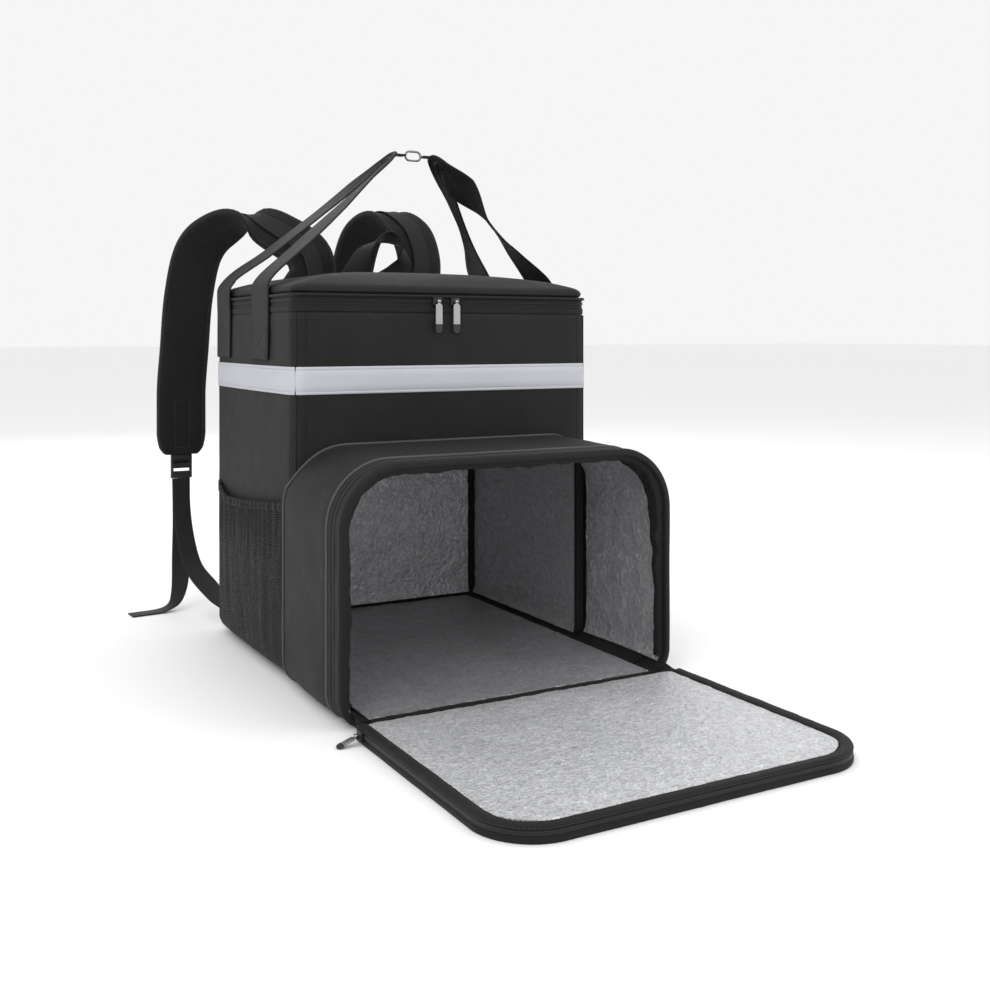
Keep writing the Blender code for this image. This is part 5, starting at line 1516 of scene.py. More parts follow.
@dataclass
class Ribbon:
    """Flat strap that follows rows of (centre, width direction, width)."""

    rows: list[Row]
    thickness: float

    @staticmethod
    def slope(before: Vector, here: Vector, after: Vector) -> Vector:
        """Return a slope at a row that can't overshoot its neighbours."""
        slope = []
        for low, middle, high in zip(before, here, after):
            left, right = middle - low, high - middle
            size = 0.0
            if left * right > 0.0:
                size = min(abs(left + right) / 2, 3 * abs(left), 3 * abs(right))
            slope.append(math.copysign(size, left))
        return Vector(slope)

    @classmethod
    def smooth(cls, rows: list[Row], thickness: float, steps: int) -> "Ribbon":
        """Return a ribbon on a smooth curve through rows."""
        result: list[Row] = []
        last = len(rows) - 1
        slopes = []
        for i in range(last + 1):
            window = (rows[max(i - 1, 0)], rows[i], rows[min(i + 1, last)])
            slopes.append([cls.slope(*[row[column] for row in window]) for column in (0, 1)])
        for i in range(last):
            for k in range(steps):
                t = k / steps
                rise = t * t * (3 - 2 * t)
                leave, arrive = t * (1 - t) ** 2, -t * t * (1 - t)
                centre, across = [
                    rows[i][column].lerp(rows[i + 1][column], rise)
                    + slopes[i][column] * leave + slopes[i + 1][column] * arrive
                    for column in (0, 1)
                ]
                result.append((centre, across, lerp(rows[i][2], rows[i + 1][2], t)))
        result.append(rows[last])
        return cls(result, thickness)

    def frames(self) -> list[tuple[Vector, Vector, Vector, float]]:
        """Return (centre, across, normal, width) for each row."""
        frames = []
        for i, (centre, across, width) in enumerate(self.rows):
            ahead = self.rows[min(i + 1, len(self.rows) - 1)][0] - self.rows[max(i - 1, 0)][0]
            tangent = ahead.normalized()
            across = (across - across.dot(tangent) * tangent).normalized()
            frames.append((centre, across, tangent.cross(across), width))
        return frames

    def bend(self, index: int, reach: int = 3) -> float:
        """Return how sharply the ribbon turns at a row, in radians per metre."""
        low, high = max(index - reach, 0), min(index + reach, len(self.rows) - 1)
        here = self.rows[index][0]
        before, after = here - self.rows[low][0], self.rows[high][0] - here
        if before.length < 1e-5 or after.length < 1e-5:
            return 0.0
        return before.angle(after) * 2 / (before.length + after.length)

    def edge(self, share: float, lift: float) -> Line:
        """Return a line of (point, facing) at a share of the half width, lifted off a face."""
        side = 1.0 if lift >= 0 else -1.0
        return [(centre + across * width / 2 * share + normal * lift, normal * side)
                for centre, across, normal, width in self.frames()]

    def solid(self, name: str, material: Material, gather: float = 0.0, full_width: float = 1.0,
              wave: float = 0.0004) -> Object:
        """Return the ribbon as a closed mesh with soft edges.

        Args:
            name: name of the object.
            material: its finish.
            gather: depth of the lengthwise folds where it narrows.
            full_width: width at which it lies flat.
            wave: depth of its slow waves.
        """
        half = ((0.0, 1.0), (0.25, 0.96), (0.5, 1.0), (0.75, 0.96), (0.95, 1.0), (0.985, 0.72), (1.0, 0.30))
        profile = [(-share, thick) for share, thick in reversed(half[1:])] + list(half)
        last = len(self.rows) - 1
        frames = self.frames()

        def pair(i: int, row: tuple[float, float]) -> tuple[Vector, Vector]:
            centre, across, normal, width = frames[i]
            share, thick = row
            fold = gather * max(1 - width / full_width, 0.0)
            spot = centre + across * width / 2 * share
            off = wave * fade(min(i, last - i) / last, 0.0, 0.10) * noise.noise(spot * 30)
            off += fold * math.cos(share * 2.5 * math.pi)
            return spot + normal * (off + thick * self.thickness / 2), spot + normal * (
                off - thick * self.thickness / 2)

        return walled(name, grids(range(last + 1), profile, pair), material, 60.0)


@dataclass
class CarryHandles(Maker):
    """Two carry handles of wide webbing that meet at a clasp."""

    width: float = 0.064
    thickness: float = 0.0022
    foot: float = 0.371
    front: float = -0.042
    rear: float = 0.112
    apex_height: float = 0.632
    apex_depth: float = -0.014
    left_apex: float = -0.020
    right_apex: float = 0.052
    top_width: float = 0.026
    sag: float = 0.010
    clasp_centre: float = 0.016
    clasp_height: float = 0.638
    clasp_half: tuple[float, float] = (0.011, 0.006)
    runs: tuple = (
        ("left", -1, ((0.00, 0.0, 1.00, 0.00, 1.00, 0.00), (0.30, 0.8, 1.00, 0.00, 1.00, 0.00),
                      (0.60, 0.9, 0.97, 0.00, 1.00, -0.05), (0.86, 0.4, 0.78, -0.10, 0.92, -0.25)),
         ((0.00, 0.0, 1.00, 0.00, -1.00, 0.00), (0.30, 0.8, 1.00, 0.00, -1.00, 0.00),
          (0.60, 0.9, 0.95, -0.08, -0.95, -0.05), (0.86, 0.4, 0.70, -0.25, -0.80, -0.30))),
        ("right", 1, ((0.00, 0.0, 1.00, 0.00, 1.00, 0.00), (0.30, 0.9, 0.92, 0.20, 0.95, 0.10),
                      (0.55, 1.0, 0.75, 0.42, 0.88, 0.20), (0.85, 0.5, 0.85, 0.00, 0.85, -0.45)),
         ((0.00, 0.0, 1.00, 0.00, -1.00, 0.00), (0.30, 0.9, 0.90, -0.25, -0.95, 0.00),
          (0.55, 1.0, 0.72, -0.35, -0.90, 0.00), (0.85, 0.5, 0.70, 0.10, -0.85, -0.40))),
    )

    def run(self, sign: int, depth: float, apex: Vector, table: tuple) -> list[Row]:
        """Return a handle's rows from its foot on the side up towards the apex."""
        body = self.body
        seat = 2 * GAP + self.thickness / 2
        low = body.skin(body.side_s(sign, depth - self.width / 2), self.foot)
        high = body.skin(body.side_s(sign, depth + self.width / 2), self.foot)
        width = (high - low).normalized() * table[0][4]
        foot = body.skin(body.side_s(sign, depth), self.foot, seat)
        knee = body.skin(body.side_s(sign, depth), body.seam - 0.022, seat)
        brow = Vector((sign * (body.half_width + seat + 0.0008), depth, body.seam + 0.006))
        rows = [(place, width, self.width) for place in (foot, foot.lerp(knee, 0.5), knee, brow)]
        edge = Vector((sign * (body.half_width - 0.006), depth, body.seam + 0.026))
        down = Vector((sign * 0.6, 0.0, -0.8))
        for share, sag, width_share, x, y, z in table:
            centre = edge.lerp(apex, share) + down * sag * self.sag
            rows.append((centre, Vector((x, y, z)), width_share * self.width))
        return rows

    def ribbon(self, sign: int, apex_x: float, front_table: tuple, rear_table: tuple) -> Ribbon:
        """Return one handle as a ribbon from its front foot to its rear foot."""
        top = Vector((apex_x, self.apex_depth, self.apex_height))
        slope = Vector((-sign * 0.7, 0.0, 0.7))
        start = top + Vector((sign * 0.006, -0.010, -0.006))
        end = top + Vector((sign * 0.006, 0.012, -0.006))
        rows = self.run(sign, self.front, start, front_table)
        rear = self.run(sign, self.rear, end, rear_table)
        rows.append((start, Vector((0.0, 0.8, 0.0)) - slope * 0.5, self.top_width * 1.15))
        rows.append((top, -slope, self.top_width))
        rows.append((end, Vector((0.0, -0.8, 0.0)) - slope * 0.5, self.top_width * 1.15))
        rows += list(reversed(rear))
        return Ribbon.smooth(rows, self.thickness, 10)

    def foot_stitches(self, side: str, sign: int) -> None:
        """Sew a crossed box at each foot of a handle."""
        body = self.body
        half = self.width / 2 - 0.006
        low, high = self.foot + 0.0015, self.foot + 0.041
        corners = [(-half, low), (half, low), (half, high), (-half, high)]
        lines = []
        for depth in (self.front, self.rear):
            for first, second in ((0, 1), (1, 2), (2, 3), (3, 0), (0, 2), (1, 3)):
                (y0, z0), (y1, z1) = corners[first], corners[second]
                line = []
                for share in spread(0.0, 1.0, 12):
                    s = body.side_s(sign, depth + lerp(y0, y1, share))
                    line.append((body.skin(s, lerp(z0, z1, share), 2 * GAP + self.thickness + 0.0003),
                                 body.facing(s)))
                lines.append(line)
        self.stitches(f"handle_stitches_{side}", lines)

    def build_clasp(self) -> None:
        """Build the clasp's ring, its sprung gate and the keepers."""
        half_length, half_height = self.clasp_half
        centre = Vector((self.clasp_centre, self.apex_depth, self.clasp_height))
        straight = half_length - half_height
        path = [Vector((-straight - 0.0004, 0.0, -half_height))]
        for first in (270, 90):
            middle = -straight if first == 270 else straight
            for angle in [math.radians(first - 180 * k / 24) for k in range(25)]:
                path.append(Vector((middle + half_height * math.cos(angle), 0.0, half_height * math.sin(angle))))
        path = [centre + point for point in path]
        self.place(self.tube("clasp_loop", path, 0.0015, self.finishes.clasp, 14), "nickel", "clasp_ring")
        start = centre + Vector((-straight + 0.0006, 0.0, -half_height))
        end = centre + Vector((straight - 0.0004, 0.0, -half_height))
        gate = self.tube("clasp_gate_bar", [start.lerp(end, k / 6) for k in range(7)], 0.0013,
                         self.finishes.clasp, 14)
        self.place(gate, "nickel", "clasp_gate", body="clasp_gate_body")
        reach = half_length + 0.0015 + GAP
        seats = (("left", self.left_apex + 0.0092, self.clasp_centre - reach),
                 ("right", self.clasp_centre + reach, self.right_apex - 0.0092))
        for side, near, far in seats:
            rows = [(Vector((lerp(near, far, k / 6), self.apex_depth, self.clasp_height)),
                     Vector((0.0, 1.0, 0.0)), 0.014) for k in range(7)]
            keeper = Ribbon(rows, 0.002).solid(f"keeper_tape_{side}", self.finishes.webbing, wave=0.0)
            self.place(keeper, "webbing", f"clasp_keeper_{side}")

    def build(self) -> None:
        """Build both handles, their stitches and the clasp."""
        for side, sign, front_table, rear_table in self.runs:
            ribbon = self.ribbon(sign, self.left_apex if sign < 0 else self.right_apex, front_table, rear_table)
            item = ribbon.solid(f"handle_webbing_{side}", self.finishes.webbing, gather=0.0035,
                                full_width=self.width)
            self.place(item, "webbing", f"carry_handle_{side}")
            lift = self.thickness / 2 + 0.0002
            sewn = int(len(ribbon.rows) * 0.30)
            self.stitches(f"handle_edge_{side}", [ribbon.edge(share, level)[:sewn] for level in (lift, -lift)
                                                  for share in (-0.90, 0.90)])
            self.foot_stitches(side, sign)
        self.build_clasp()


@dataclass
class GrabHandle(Maker):
    """Small loop of webbing at the top of the back."""

    width: float = 0.028
    spread: float = 0.024
    height: float = 0.545
    foot: float = 0.428
    thickness: float = 0.0022
    loop: tuple = (
        (-1.00, None, 1.0, 0.0, 0.0), (-0.95, 0.00, 1.0, 0.0, 0.0), (-0.60, 0.20, 1.0, 0.0, 0.0),
        (0.15, 0.48, 0.95, -0.3, 0.0), (1.00, 0.82, 0.55, -0.8, 0.2), (2.30, 1.00, 0.0, -0.8, 0.55),
        (3.30, 0.84, -0.5, -0.8, 0.3), (3.40, 0.62, -0.93, -0.30, 0.0), (2.75, 0.44, -1.0, 0.0, 0.0),
        (1.70, 0.28, -1.0, 0.0, 0.0), (1.15, 0.14, -1.0, 0.0, 0.0), (1.00, 0.00, -1.0, 0.0, 0.0),
        (1.00, None, -1.0, 0.0, 0.0),
    )

    def build(self) -> None:
        """Build the loop."""
        seat = self.body.half_depth + GAP + self.thickness / 2
        rows = []
        for across, share, x, y, z in self.loop:
            level = self.foot if share is None else lerp(self.body.seam + 0.002, self.height, share)
            back = 0.0 if not share else 4 * GAP
            rows.append((Vector((across * self.spread, seat + GAP + back, level)), Vector((x, y, z)), self.width))
        ribbon = Ribbon.smooth(rows, self.thickness, 10)
        self.place(ribbon.solid("grab_webbing", self.finishes.webbing, wave=0.0002), "webbing", "grab_handle")
        lines = [ribbon.edge(share, lift) for share in (-0.86, 0.86) for lift in (0.0013, -0.0013)]
        self.stitches("grab_stitches", lines)


@dataclass
class ShoulderStraps(Maker):
    """Padded shoulder straps with their webbing and ladder locks."""

    spread: float = 0.080
    width: float = 0.070
    thickness: float = 0.012
    reach: float = 0.120
    lean_end: float = 0.35
    pad_end: float = 0.228
    arch: float = 0.565
    webbing: float = 0.025
    webbing_thickness: float = 0.0016
    lock: tuple[float, float, float] = (0.030, 0.005, 0.034)
    anchor: float = 0.033
    tail: float = 0.070
    steps: int = 8
    wrap: tuple = ((0.862, 0.86), (0.90, 0.84), (0.945, 0.74), (0.985, 0.48), (1.004, 0.0), (0.985, -0.48),
                   (0.945, -0.74), (0.90, -0.84), (0.862, -0.86))
    pads: tuple = (
        ("left", -1, ((0.0000, 0.006, 0.585, 1.00), (0.0000, 0.016, 0.645, 1.00), (0.0300, 0.065, 0.700, 1.00),
                      (0.0680, 0.125, 0.765, 1.00), (0.0600, 0.190, 0.850, 1.00), (-0.0250, 0.290, 0.935, 1.00),
                      (-0.1425, 0.460, 1.000, 1.00), (-0.2300, 0.640, 0.960, 1.00), (-0.2925, 0.790, 0.868, 1.00),
                      (-0.3200, 0.905, 0.680, 1.00), (-0.3325, 0.950, 0.450, 1.00), (-0.3425, 0.965, 0.250, 1.00),
                      (-0.3425, 0.965, 0.090, 1.00), (-0.3425, 0.965, 0.030, 0.90), (-0.3425, 0.965, 0.000, 0.62))),
        ("right", 1, ((0.0000, 0.006, 0.585, 1.00), (0.0000, 0.018, 0.645, 1.00), (0.0420, 0.085, 0.700, 1.00),
                      (0.0900, 0.165, 0.765, 1.00), (0.1050, 0.240, 0.860, 1.00), (0.0800, 0.360, 0.985, 1.00),
                      (0.0150, 0.600, 1.050, 1.00), (-0.0350, 0.890, 0.990, 1.00), (-0.0575, 1.080, 0.850, 1.00),
                      (-0.0700, 1.170, 0.650, 1.00), (-0.0750, 1.200, 0.400, 1.00), (-0.0750, 1.210, 0.200, 1.00),
                      (-0.0750, 1.210, 0.090, 1.00), (-0.0750, 1.210, 0.030, 0.90), (-0.0750, 1.210, 0.000, 0.62))),
    )
    lower_run: tuple = ((0.00, 1.00, 1.00, 0.00, 0.00), (0.00, 0.85, 1.00, 0.00, 0.00), (0.08, 0.52, 1.00, 0.00, 0.00),
                        (0.30, 0.22, 0.95, 0.00, 0.25), (0.72, 0.06, 0.60, 0.00, 0.80))
    lower_ends: tuple = (("left", 0.012, 0.032), ("right", 0.050, 0.028))
    tails: tuple = (
        ("left", ((0.00, 0.00, 1.000, 1.0, 0.0), (0.02, 0.04, 0.640, 1.0, 0.0), (0.02, 0.09, 0.300, 0.9, -0.4),
                  (-0.06, 0.11, 0.090, 0.5, -0.85), (-0.30, 0.11, 0.012, 0.0, -1.0), (-0.65, 0.09, 0.000, 0.0, -1.0),
                  (-1.00, 0.06, 0.000, 0.0, -1.0))),
        ("right", ((0.00, 0.00, 1.000, 1.0, 0.0), (0.00, 0.04, 0.640, 1.0, 0.0), (0.00, 0.06, 0.300, 1.0, 0.0),
                   (0.00, 0.02, 0.080, 1.0, 0.0), (0.00, -0.22, 0.010, 1.0, 0.0), (0.00, -0.60, 0.000, 1.0, 0.0),
                   (0.00, -1.00, 0.000, 1.0, 0.0))),
    )

    def pad_rows(self, sign: int, table: tuple) -> list[Row]:
        """Return the rows of a shoulder pad from its table."""
        seat = self.body.half_depth + GAP + self.thickness / 2
        centres = [Vector((sign * self.spread + across * self.body.width, seat + back * self.reach,
                           lerp(self.pad_end, self.arch, height))) for across, back, height, _width in table]
        rows = []
        for i, centre in enumerate(centres):
            ahead = centres[min(i + 1, len(centres) - 1)] - centres[max(i - 1, 0)]
            near = max(1.0 - table[i][1] / self.lean_end, 0.0)
            lean = Vector((1.0, 0.0, -near * ahead.x / abs(ahead.z)))
            rows.append((centre, lean.normalized(), table[i][3] * self.width))
        return rows

    def build_pad(self, side: str, ribbon: Ribbon) -> None:
        """Build a pad with creases where it bends, its binding and its stitches."""
        shape = ((0.0, 1.0), (0.30, 1.0), (0.55, 0.99), (0.76, 0.93), (0.84, 0.86), (0.88, 0.72), (0.92, 0.78),
                 (0.965, 0.55), (0.99, 0.28), (1.0, 0.0))
        ring = list(shape) + [(share, -thick) for share, thick in reversed(shape[:-1])]
        ring += [(-share, -thick) for share, thick in shape[1:]]
        ring += [(-share, thick) for share, thick in reversed(shape[1:-1])]
        sections = []
        last = len(ribbon.rows) - 1
        for i, (centre, across, normal, width) in enumerate(ribbon.frames()):
            turn = min(ribbon.bend(i) / 14.0, 1.0)
            crease = 0.0008 * turn * math.sin(i * 1.4)
            squeeze = 0.93 + 0.07 * fade(min(i, last - i), 0, 5)
            section = []
            for share, thick in ring:
                flat = 1 - abs(share) ** 3
                spot = centre + across * width / 2 * share
                soft = 0.0007 * noise.noise(spot * 28) + 0.0004 * noise.noise(spot * 75)
                lift = (thick * self.thickness / 2 - math.copysign(0.0004, thick)) * squeeze
                lift += (crease if thick > 0 else -0.4 * crease) * flat + soft * flat
                section.append(spot + normal * lift)
            sections.append(section)
        draft = Draft()
        draft.loft(sections)
        item = draft.build(f"pad_cloth_{side}", self.finishes.pad, 70.0)
        self.place(item, "pad_cloth", f"shoulder_pad_{side}")
        for name, sign in (("in", -1), ("out", 1)):
            def pair(frame_here: tuple, row: tuple[float, float]) -> tuple[Vector, Vector]:
                centre, across, normal, width = frame_here
                share, thick = row
                spot = centre + across * width / 2 * share * sign
                return (spot + normal * thick * self.thickness / 2 * sign + across * sign * 0.0002,
                        centre + across * width / 2 * (share - 0.03) * sign
                        + normal * thick * 0.86 * self.thickness / 2 * sign)

            sides = grids(ribbon.frames(), self.wrap, pair)
            self.place(walled(f"pad_binding_{side}_{name}", sides, self.finishes.binding, 60.0), "trim")
        lift = self.thickness / 2 * 0.90
        lines = [ribbon.edge(share, level)[2:-2] for share in (-0.83, 0.83) for level in (lift, -lift)]
        end = ribbon.frames()[-24:-8]
        lift = self.thickness / 2 + 0.0001
        lines += [[(c + a * w / 2 * share + n * lift, n) for c, a, n, w in end] for share in (-0.30, 0.30)]
        lines += [[(c + a * w / 2 * share + n * lift, n) for share in spread(-0.30, 0.30, 8)]
                  for c, a, n, w in (end[0], end[-1])]
        self.stitches(f"pad_stitches_{side}", lines)

    def build_sewn_webbing(self, side: str, ribbon: Ribbon) -> None:
        """Build the webbing that runs over a pad's outer face."""
        low, high = int(2.5 * self.steps), int(13 * self.steps) + 1
        rows = [(centre, across, self.webbing) for centre, across, _width in ribbon.rows]
        frames = Ribbon(rows, self.webbing_thickness).frames()
        shift = self.thickness / 2 + 5 * GAP + self.webbing_thickness / 2
        moved = [(c - n * shift, a, w) for c, a, n, w in frames[low:high]]
        strip = Ribbon(moved, self.webbing_thickness)
        item = strip.solid(f"sewn_webbing_{side}", self.finishes.webbing, wave=0.0003)
        self.place(item, "webbing", f"pad_webbing_{side}")
        lines = [strip.edge(share, -(self.webbing_thickness / 2 + 0.0002)) for share in (-0.82, 0.82)]
        self.stitches(f"webbing_stitches_{side}", lines)

    def build_lock(self, side: str, end: Vector) -> None:
        """Build a ladder lock with softened edges and the webbing through it."""
        item = copy_node(f"lock_frame_{side}", f"ladder_lock_{side}", self.finishes.plastic)
        bm = bmesh.new()
        bm.from_mesh(item.data)
        bmesh.ops.bevel(bm, geom=[edge for edge in bm.edges if edge.calc_face_angle(0.0) > 0.5], offset=0.0009,
                        segments=3, affect="EDGES", profile=0.6)
        bm.to_mesh(item.data)
        bm.free()
        tidy(item, 40.0)
        self.place(item, "black_plastic", f"ladder_lock_{side}")
        top = self.pad_end - GAP
        depth = self.lock[1] / 2
        wide = Vector((1.0, 0.0, 0.0))
        for number, level in enumerate((0.0, 0.27)):
            high = top - level * self.lock[2]
            rows = [(Vector((end.x, end.y + depth * ahead, high + up)), wide, 0.0235)
                    for ahead, up in ((0.4, 0.003 - 0.0036 * number), (-0.1, -0.0062), (-1.35, -0.0100))]
            strip = Ribbon.smooth(rows, 0.0013, 6)
            self.place(strip.solid(f"lock_webbing_{side}_{number}", self.finishes.webbing, wave=0.0), "webbing")

    def build_lower(self, side: str, sign: int, end: Vector) -> Vector:
        """Build the adjusting webbing below a ladder lock and return its upper end."""
        start = Vector((end.x, end.y, self.pad_end - GAP - self.lock[2] - 2 * GAP))
        bend, inset = next((bend, inset) for name, bend, inset in self.lower_ends if name == side)
        half, depth = self.body.half_width, self.body.half_depth
        corner = Vector((sign * (half - bend), depth + 0.010, self.anchor + 0.003))
        goal = Vector((sign * (half - inset), depth + GAP + self.webbing_thickness / 2, self.anchor))
        rows = []
        for way, height, x, y, z in self.lower_run:
            centre = start.lerp(corner, way)
            centre.z = lerp(corner.z, start.z, height)
            rows.append((centre, Vector((x, y, z)), self.webbing))
        flat = Vector((0.0, 0.0, 1.0))
        rows.append((corner, Vector((0.15, 0.0, 0.95)), self.webbing))
        rows.append((goal + Vector((-0.007, 0.0014, 0.0)), flat, self.webbing))
        rows.append((goal, flat, self.webbing))
        strip = Ribbon.smooth(rows, self.webbing_thickness, 12)
        item = strip.solid(f"adjusting_webbing_{side}", self.finishes.webbing, wave=0.0002)
        self.place(item, "webbing", f"lower_webbing_{side}")
        return start

    def build_tail(self, side: str, start: Vector, table: tuple) -> None:
        """Build the loose tail that hangs from a ladder lock to the floor."""
        behind = start.y + self.webbing_thickness + 5 * GAP
        lie = self.webbing_thickness / 2 + GAP
        rows = []
        for across, back, height, x, y in table:
            centre = Vector((start.x + across * self.tail, behind + back * self.tail,
                             lie + height * (start.z - lie)))
            rows.append((centre, Vector((x, y, 0.0)), self.webbing))
        strip = Ribbon.smooth(rows, self.webbing_thickness, 12)
        item = strip.solid(f"loose_webbing_{side}", self.finishes.webbing, wave=0.0001)
        self.place(item, "webbing", f"webbing_tail_{side}")
        lines = [[(c + a * w / 2 * share + n * lift, n * math.copysign(1.0, lift))
                  for share in spread(-0.8, 0.8, 8)]
                 for c, a, n, w in (strip.frames()[-5], strip.frames()[-9])
                 for lift in (0.0010, -0.0010) if (n * lift).z > 0]
        self.stitches(f"tail_stitches_{side}", lines)

    def build(self) -> None:
        """Build both straps."""
        tails = dict(self.tails)
        for side, sign, table in self.pads:
            ribbon = Ribbon.smooth(self.pad_rows(sign, table), self.thickness, self.steps)
            self.build_pad(side, ribbon)
            self.build_sewn_webbing(side, ribbon)
            end = ribbon.rows[-1][0]
            self.build_lock(side, end)
            start = self.build_lower(side, sign, end)
            self.build_tail(side, start, tails[side])


@dataclass
class Zips(Maker):
    """Zip sliders and their two-tone pulls."""

    pull_width: float = 0.009
    pull_thickness: float = 0.0016
    knuckle: tuple[float, float] = (0.0042, 0.0021)

    def slider(self, name: str, node: str) -> None:
        """Build a slider from its CAD shape, shaded smooth."""
        item = copy_node(name, node, self.finishes.black_metal)
        tidy(item, 35.0)
        self.place(item, "black_metal", node)

    def plate(self, draft: Draft, outline: list[tuple[float, float]], half: float, soft: float) -> None:
        """Add a flat plate with softened edges, across Y, to a draft."""
        middle_x = sum(x for x, _z in outline) / len(outline)
        middle_z = sum(z for _x, z in outline) / len(outline)
        sections = []
        for y, inset in ((-half, soft), (-half + soft, 0.0), (half - soft, 0.0), (half, soft)):
            section = []
            for x, z in outline:
                off = Vector((x - middle_x, z - middle_z))
                off *= max(1 - inset / off.length, 0.1)
                section.append(Vector((middle_x + off.x, y, middle_z + off.y)))
            sections.append(section)
        draft.loft(sections)

    def pull(self, name: str, node: str, body: str, pivot: Vector, turn: Matrix, length: float) -> None:
        """Build a metal pull with a dark grip on its end.

        Args:
            name: name of the piece.
            node: CAD node that it replaces.
            body: body that it rides on.
            pivot: centre of its hinge.
            turn: matrix that turns it from hanging down the front.
            length: length from the hinge to the tip.
        """
        move = Matrix.Translation(pivot) @ turn
        half, radius = self.knuckle[0] / 2, self.knuckle[1]
        split = length * 0.70
        metal = Draft()
        sections = []
        for x, size in ((-half, 0.80), (-half + 0.0004, 1.0), (half - 0.0004, 1.0), (half, 0.80)):
            sections.append([Vector((x, size * radius * math.cos(2 * math.pi * k / 16),
                                     size * radius * math.sin(2 * math.pi * k / 16))) for k in range(16)])
        metal.loft(sections)
        wide = self.pull_width / 2
        outline = [(half * 0.8, -radius * 0.6), (half * 0.9, -radius - 0.0006), (wide * 0.80, -radius - 0.0016),
                   (wide, -radius - 0.0032), (wide, -split - 0.002)]
        outline += [(-x, z) for x, z in reversed(outline)]
        self.plate(metal, outline, self.pull_thickness / 2 * 0.85, 0.0002)
        rim = [(wide * 0.92 * x, lerp(-radius - 0.004, -split + 0.0016, z)) for x, z in
               ((0.62, 0.0), (0.80, 0.12), (0.80, 1.0), (-0.80, 1.0), (-0.80, 0.12), (-0.62, 0.0))]
        self.plate(metal, rim, self.pull_thickness / 2 * 1.12, 0.00025)
        item = metal.build(name, self.finishes.nickel, 35.0)
        item.data.transform(move)
        self.place(item, "nickel", node, body=body)
        grip = Draft()
        outline = [(wide * 1.02, -split)]
        outline += [(wide * 1.02 * math.cos(math.radians(a)), -length + wide * 0.9 - wide * 0.9 * math.sin(
            math.radians(a))) for a in range(0, 91, 15)]
        outline += [(-x, z) for x, z in reversed(outline[:-1])]
        self.plate(grip, outline, self.pull_thickness / 2 * 1.45, 0.0006)
        item = grip.build(f"{name}_grip", self.finishes.rubber, 35.0)
        item.data.transform(move)
        self.place(item, "black_plastic", body=body)

    def build(self) -> None:
        """Build the three sliders and the three pulls."""
        for side, x, depth in (("left", -0.018, -0.1602835), ("right", 0.006, -0.1602842)):
            self.slider(f"slider_{side}", f"zip_slider_{side}")
            self.pull(f"pull_{side}", f"zip_pull_{side}", f"zip_pull_{side}_body",
                      Vector((x, depth, self.body.seam - 0.006)), Matrix.Identity(4), 0.039)
        self.slider("slider_flap", "flap_slider")
        pivot = Vector((-0.2082, -0.3619, 0.0087))
        length = 0.022
        droop = math.asin((pivot.z - self.pull_thickness / 2 - GAP) / length)
        turn = Matrix.Rotation(math.radians(-90), 4, "Z") @ Matrix.Rotation(droop - math.pi / 2, 4, "X")
        self.pull("pull_flap", "flap_pull", "flap_pull_body", pivot, turn, length)


# Surroundings


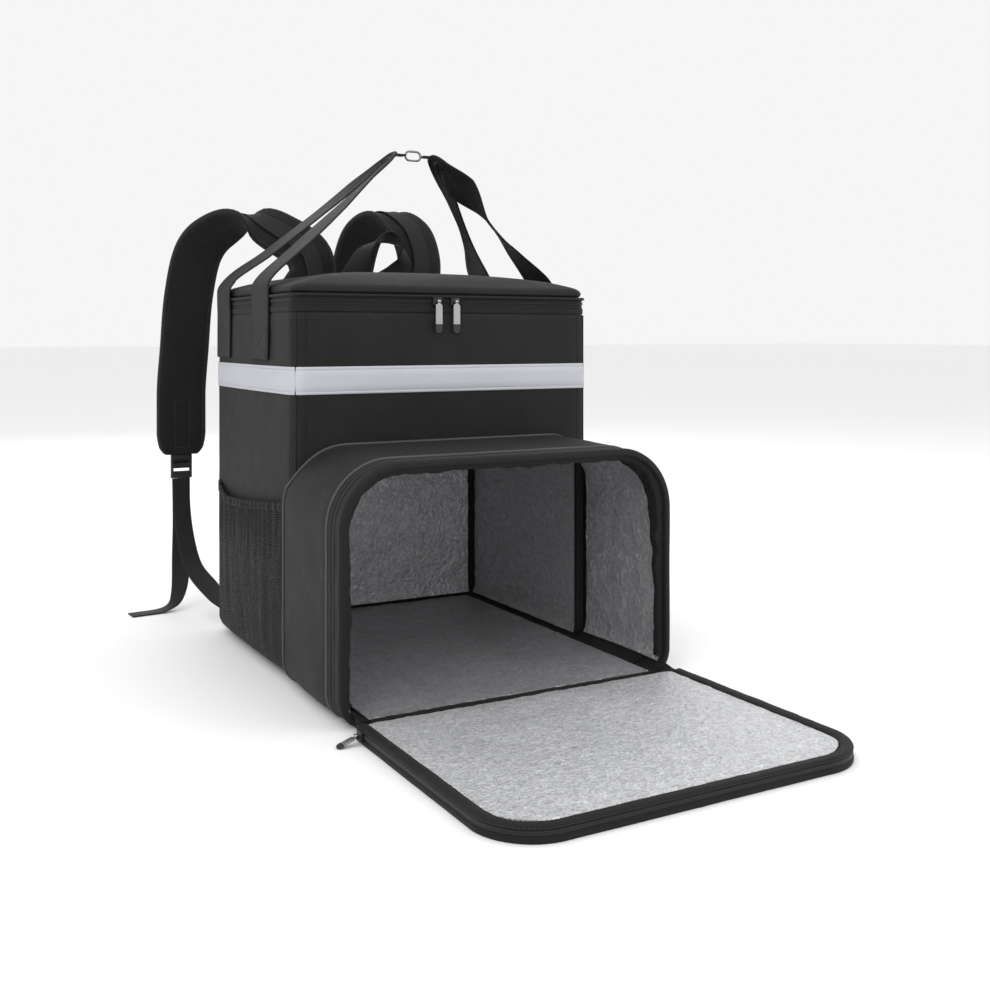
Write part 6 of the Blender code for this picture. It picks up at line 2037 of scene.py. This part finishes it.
@dataclass
class Studio:
    """Floor, light and camera."""

    location: tuple[float, float, float] = (-0.6464, -1.4230, 0.4002)
    heading: float = -29.2
    lens: float = 42.5
    shift: float = -0.1614
    lamps: tuple = (
        ("key", (-1.9, -2.0, 2.4), (0.0, -0.1, 0.25), 2.2, 40.0),
        ("fill", (2.4, -1.9, 1.5), (0.0, -0.1, 0.2), 2.6, 16.0),
        ("top", (0.2, 0.2, 2.9), (0.0, 0.0, 0.2), 2.4, 14.0),
        ("rear", (0.6, 2.6, 1.7), (0.0, 0.1, 0.3), 2.0, 12.0),
    )

    def floor(self) -> None:
        """Build the plain pale floor."""
        mesh = bpy.data.meshes.new("floor")
        bm = bmesh.new()
        bmesh.ops.create_grid(bm, x_segments=8, y_segments=8, size=40.0)
        bm.to_mesh(mesh)
        bm.free()
        material = bpy.data.materials.new("pale_floor")
        material.use_nodes = True
        graph = Graph(material.node_tree)
        shader = material.node_tree.nodes["Principled BSDF"]
        spot = graph.node("ShaderNodeTexNoise", {"Scale": 1.3, "Detail": 4.0})
        tone = graph.mix(spot.outputs[0], (0.90, 0.90, 0.90, 1.0), (0.94, 0.94, 0.94, 1.0))
        graph.tree.links.new(tone, shader.inputs["Base Color"])
        shader.inputs["Roughness"].default_value = 0.7
        shader.inputs["Specular IOR Level"].default_value = 0.2
        mesh.materials.append(material)
        item = bpy.data.objects.new("floor", mesh)
        item.location.z = -0.0002
        bpy.context.scene.collection.objects.link(item)

    def lamp(self, name: str, place: tuple, aim: tuple, size: float, power: float) -> None:
        """Add one soft area lamp that faces a point."""
        data = bpy.data.lights.new(name, "AREA")
        data.shape = "SQUARE"
        data.size = size
        data.energy = power
        item = bpy.data.objects.new(name, data)
        item.location = place
        item.rotation_euler = (Vector(aim) - Vector(place)).to_track_quat("-Z", "Y").to_euler()
        bpy.context.scene.collection.objects.link(item)

    def build(self) -> None:
        """Set the floor, the lamps, the sky and the camera."""
        self.floor()
        for row in self.lamps:
            self.lamp(*row)
        world = bpy.data.worlds.new("studio_sky")
        bpy.context.scene.world = world
        world.use_nodes = True
        sky = world.node_tree.nodes["Background"]
        sky.inputs[0].default_value = (1.0, 1.0, 1.0, 1.0)
        sky.inputs[1].default_value = 0.92
        bpy.context.scene.view_settings.view_transform = "Standard"
        camera = bpy.data.objects.new("camera", bpy.data.cameras.new("camera"))
        camera.data.sensor_width = 36.0
        camera.data.lens = self.lens
        camera.data.shift_y = self.shift
        camera.location = self.location
        camera.rotation_euler = (math.radians(90), 0.0, math.radians(self.heading))
        camera.data.clip_start = 0.02
        bpy.context.scene.collection.objects.link(camera)
        bpy.context.scene.camera = camera


MAKERS: list[Callable] = [BodyShell, Lid, FrontCompartment, FoilLining, MouthFacing, Flap, Pocket, CarryHandles,
                          GrabHandle, ShoulderStraps, Zips]


def main() -> None:
    """Build every sub-assembly of the backpack and its surroundings."""
    logging.basicConfig(level=logging.INFO, format="%(name)s: %(message)s")
    Studio().build()
    finishes = Finishes()
    sewing = Seamstress()
    for maker in MAKERS:
        maker(finishes, sewing).build()


if __name__ == "__main__":
    main()
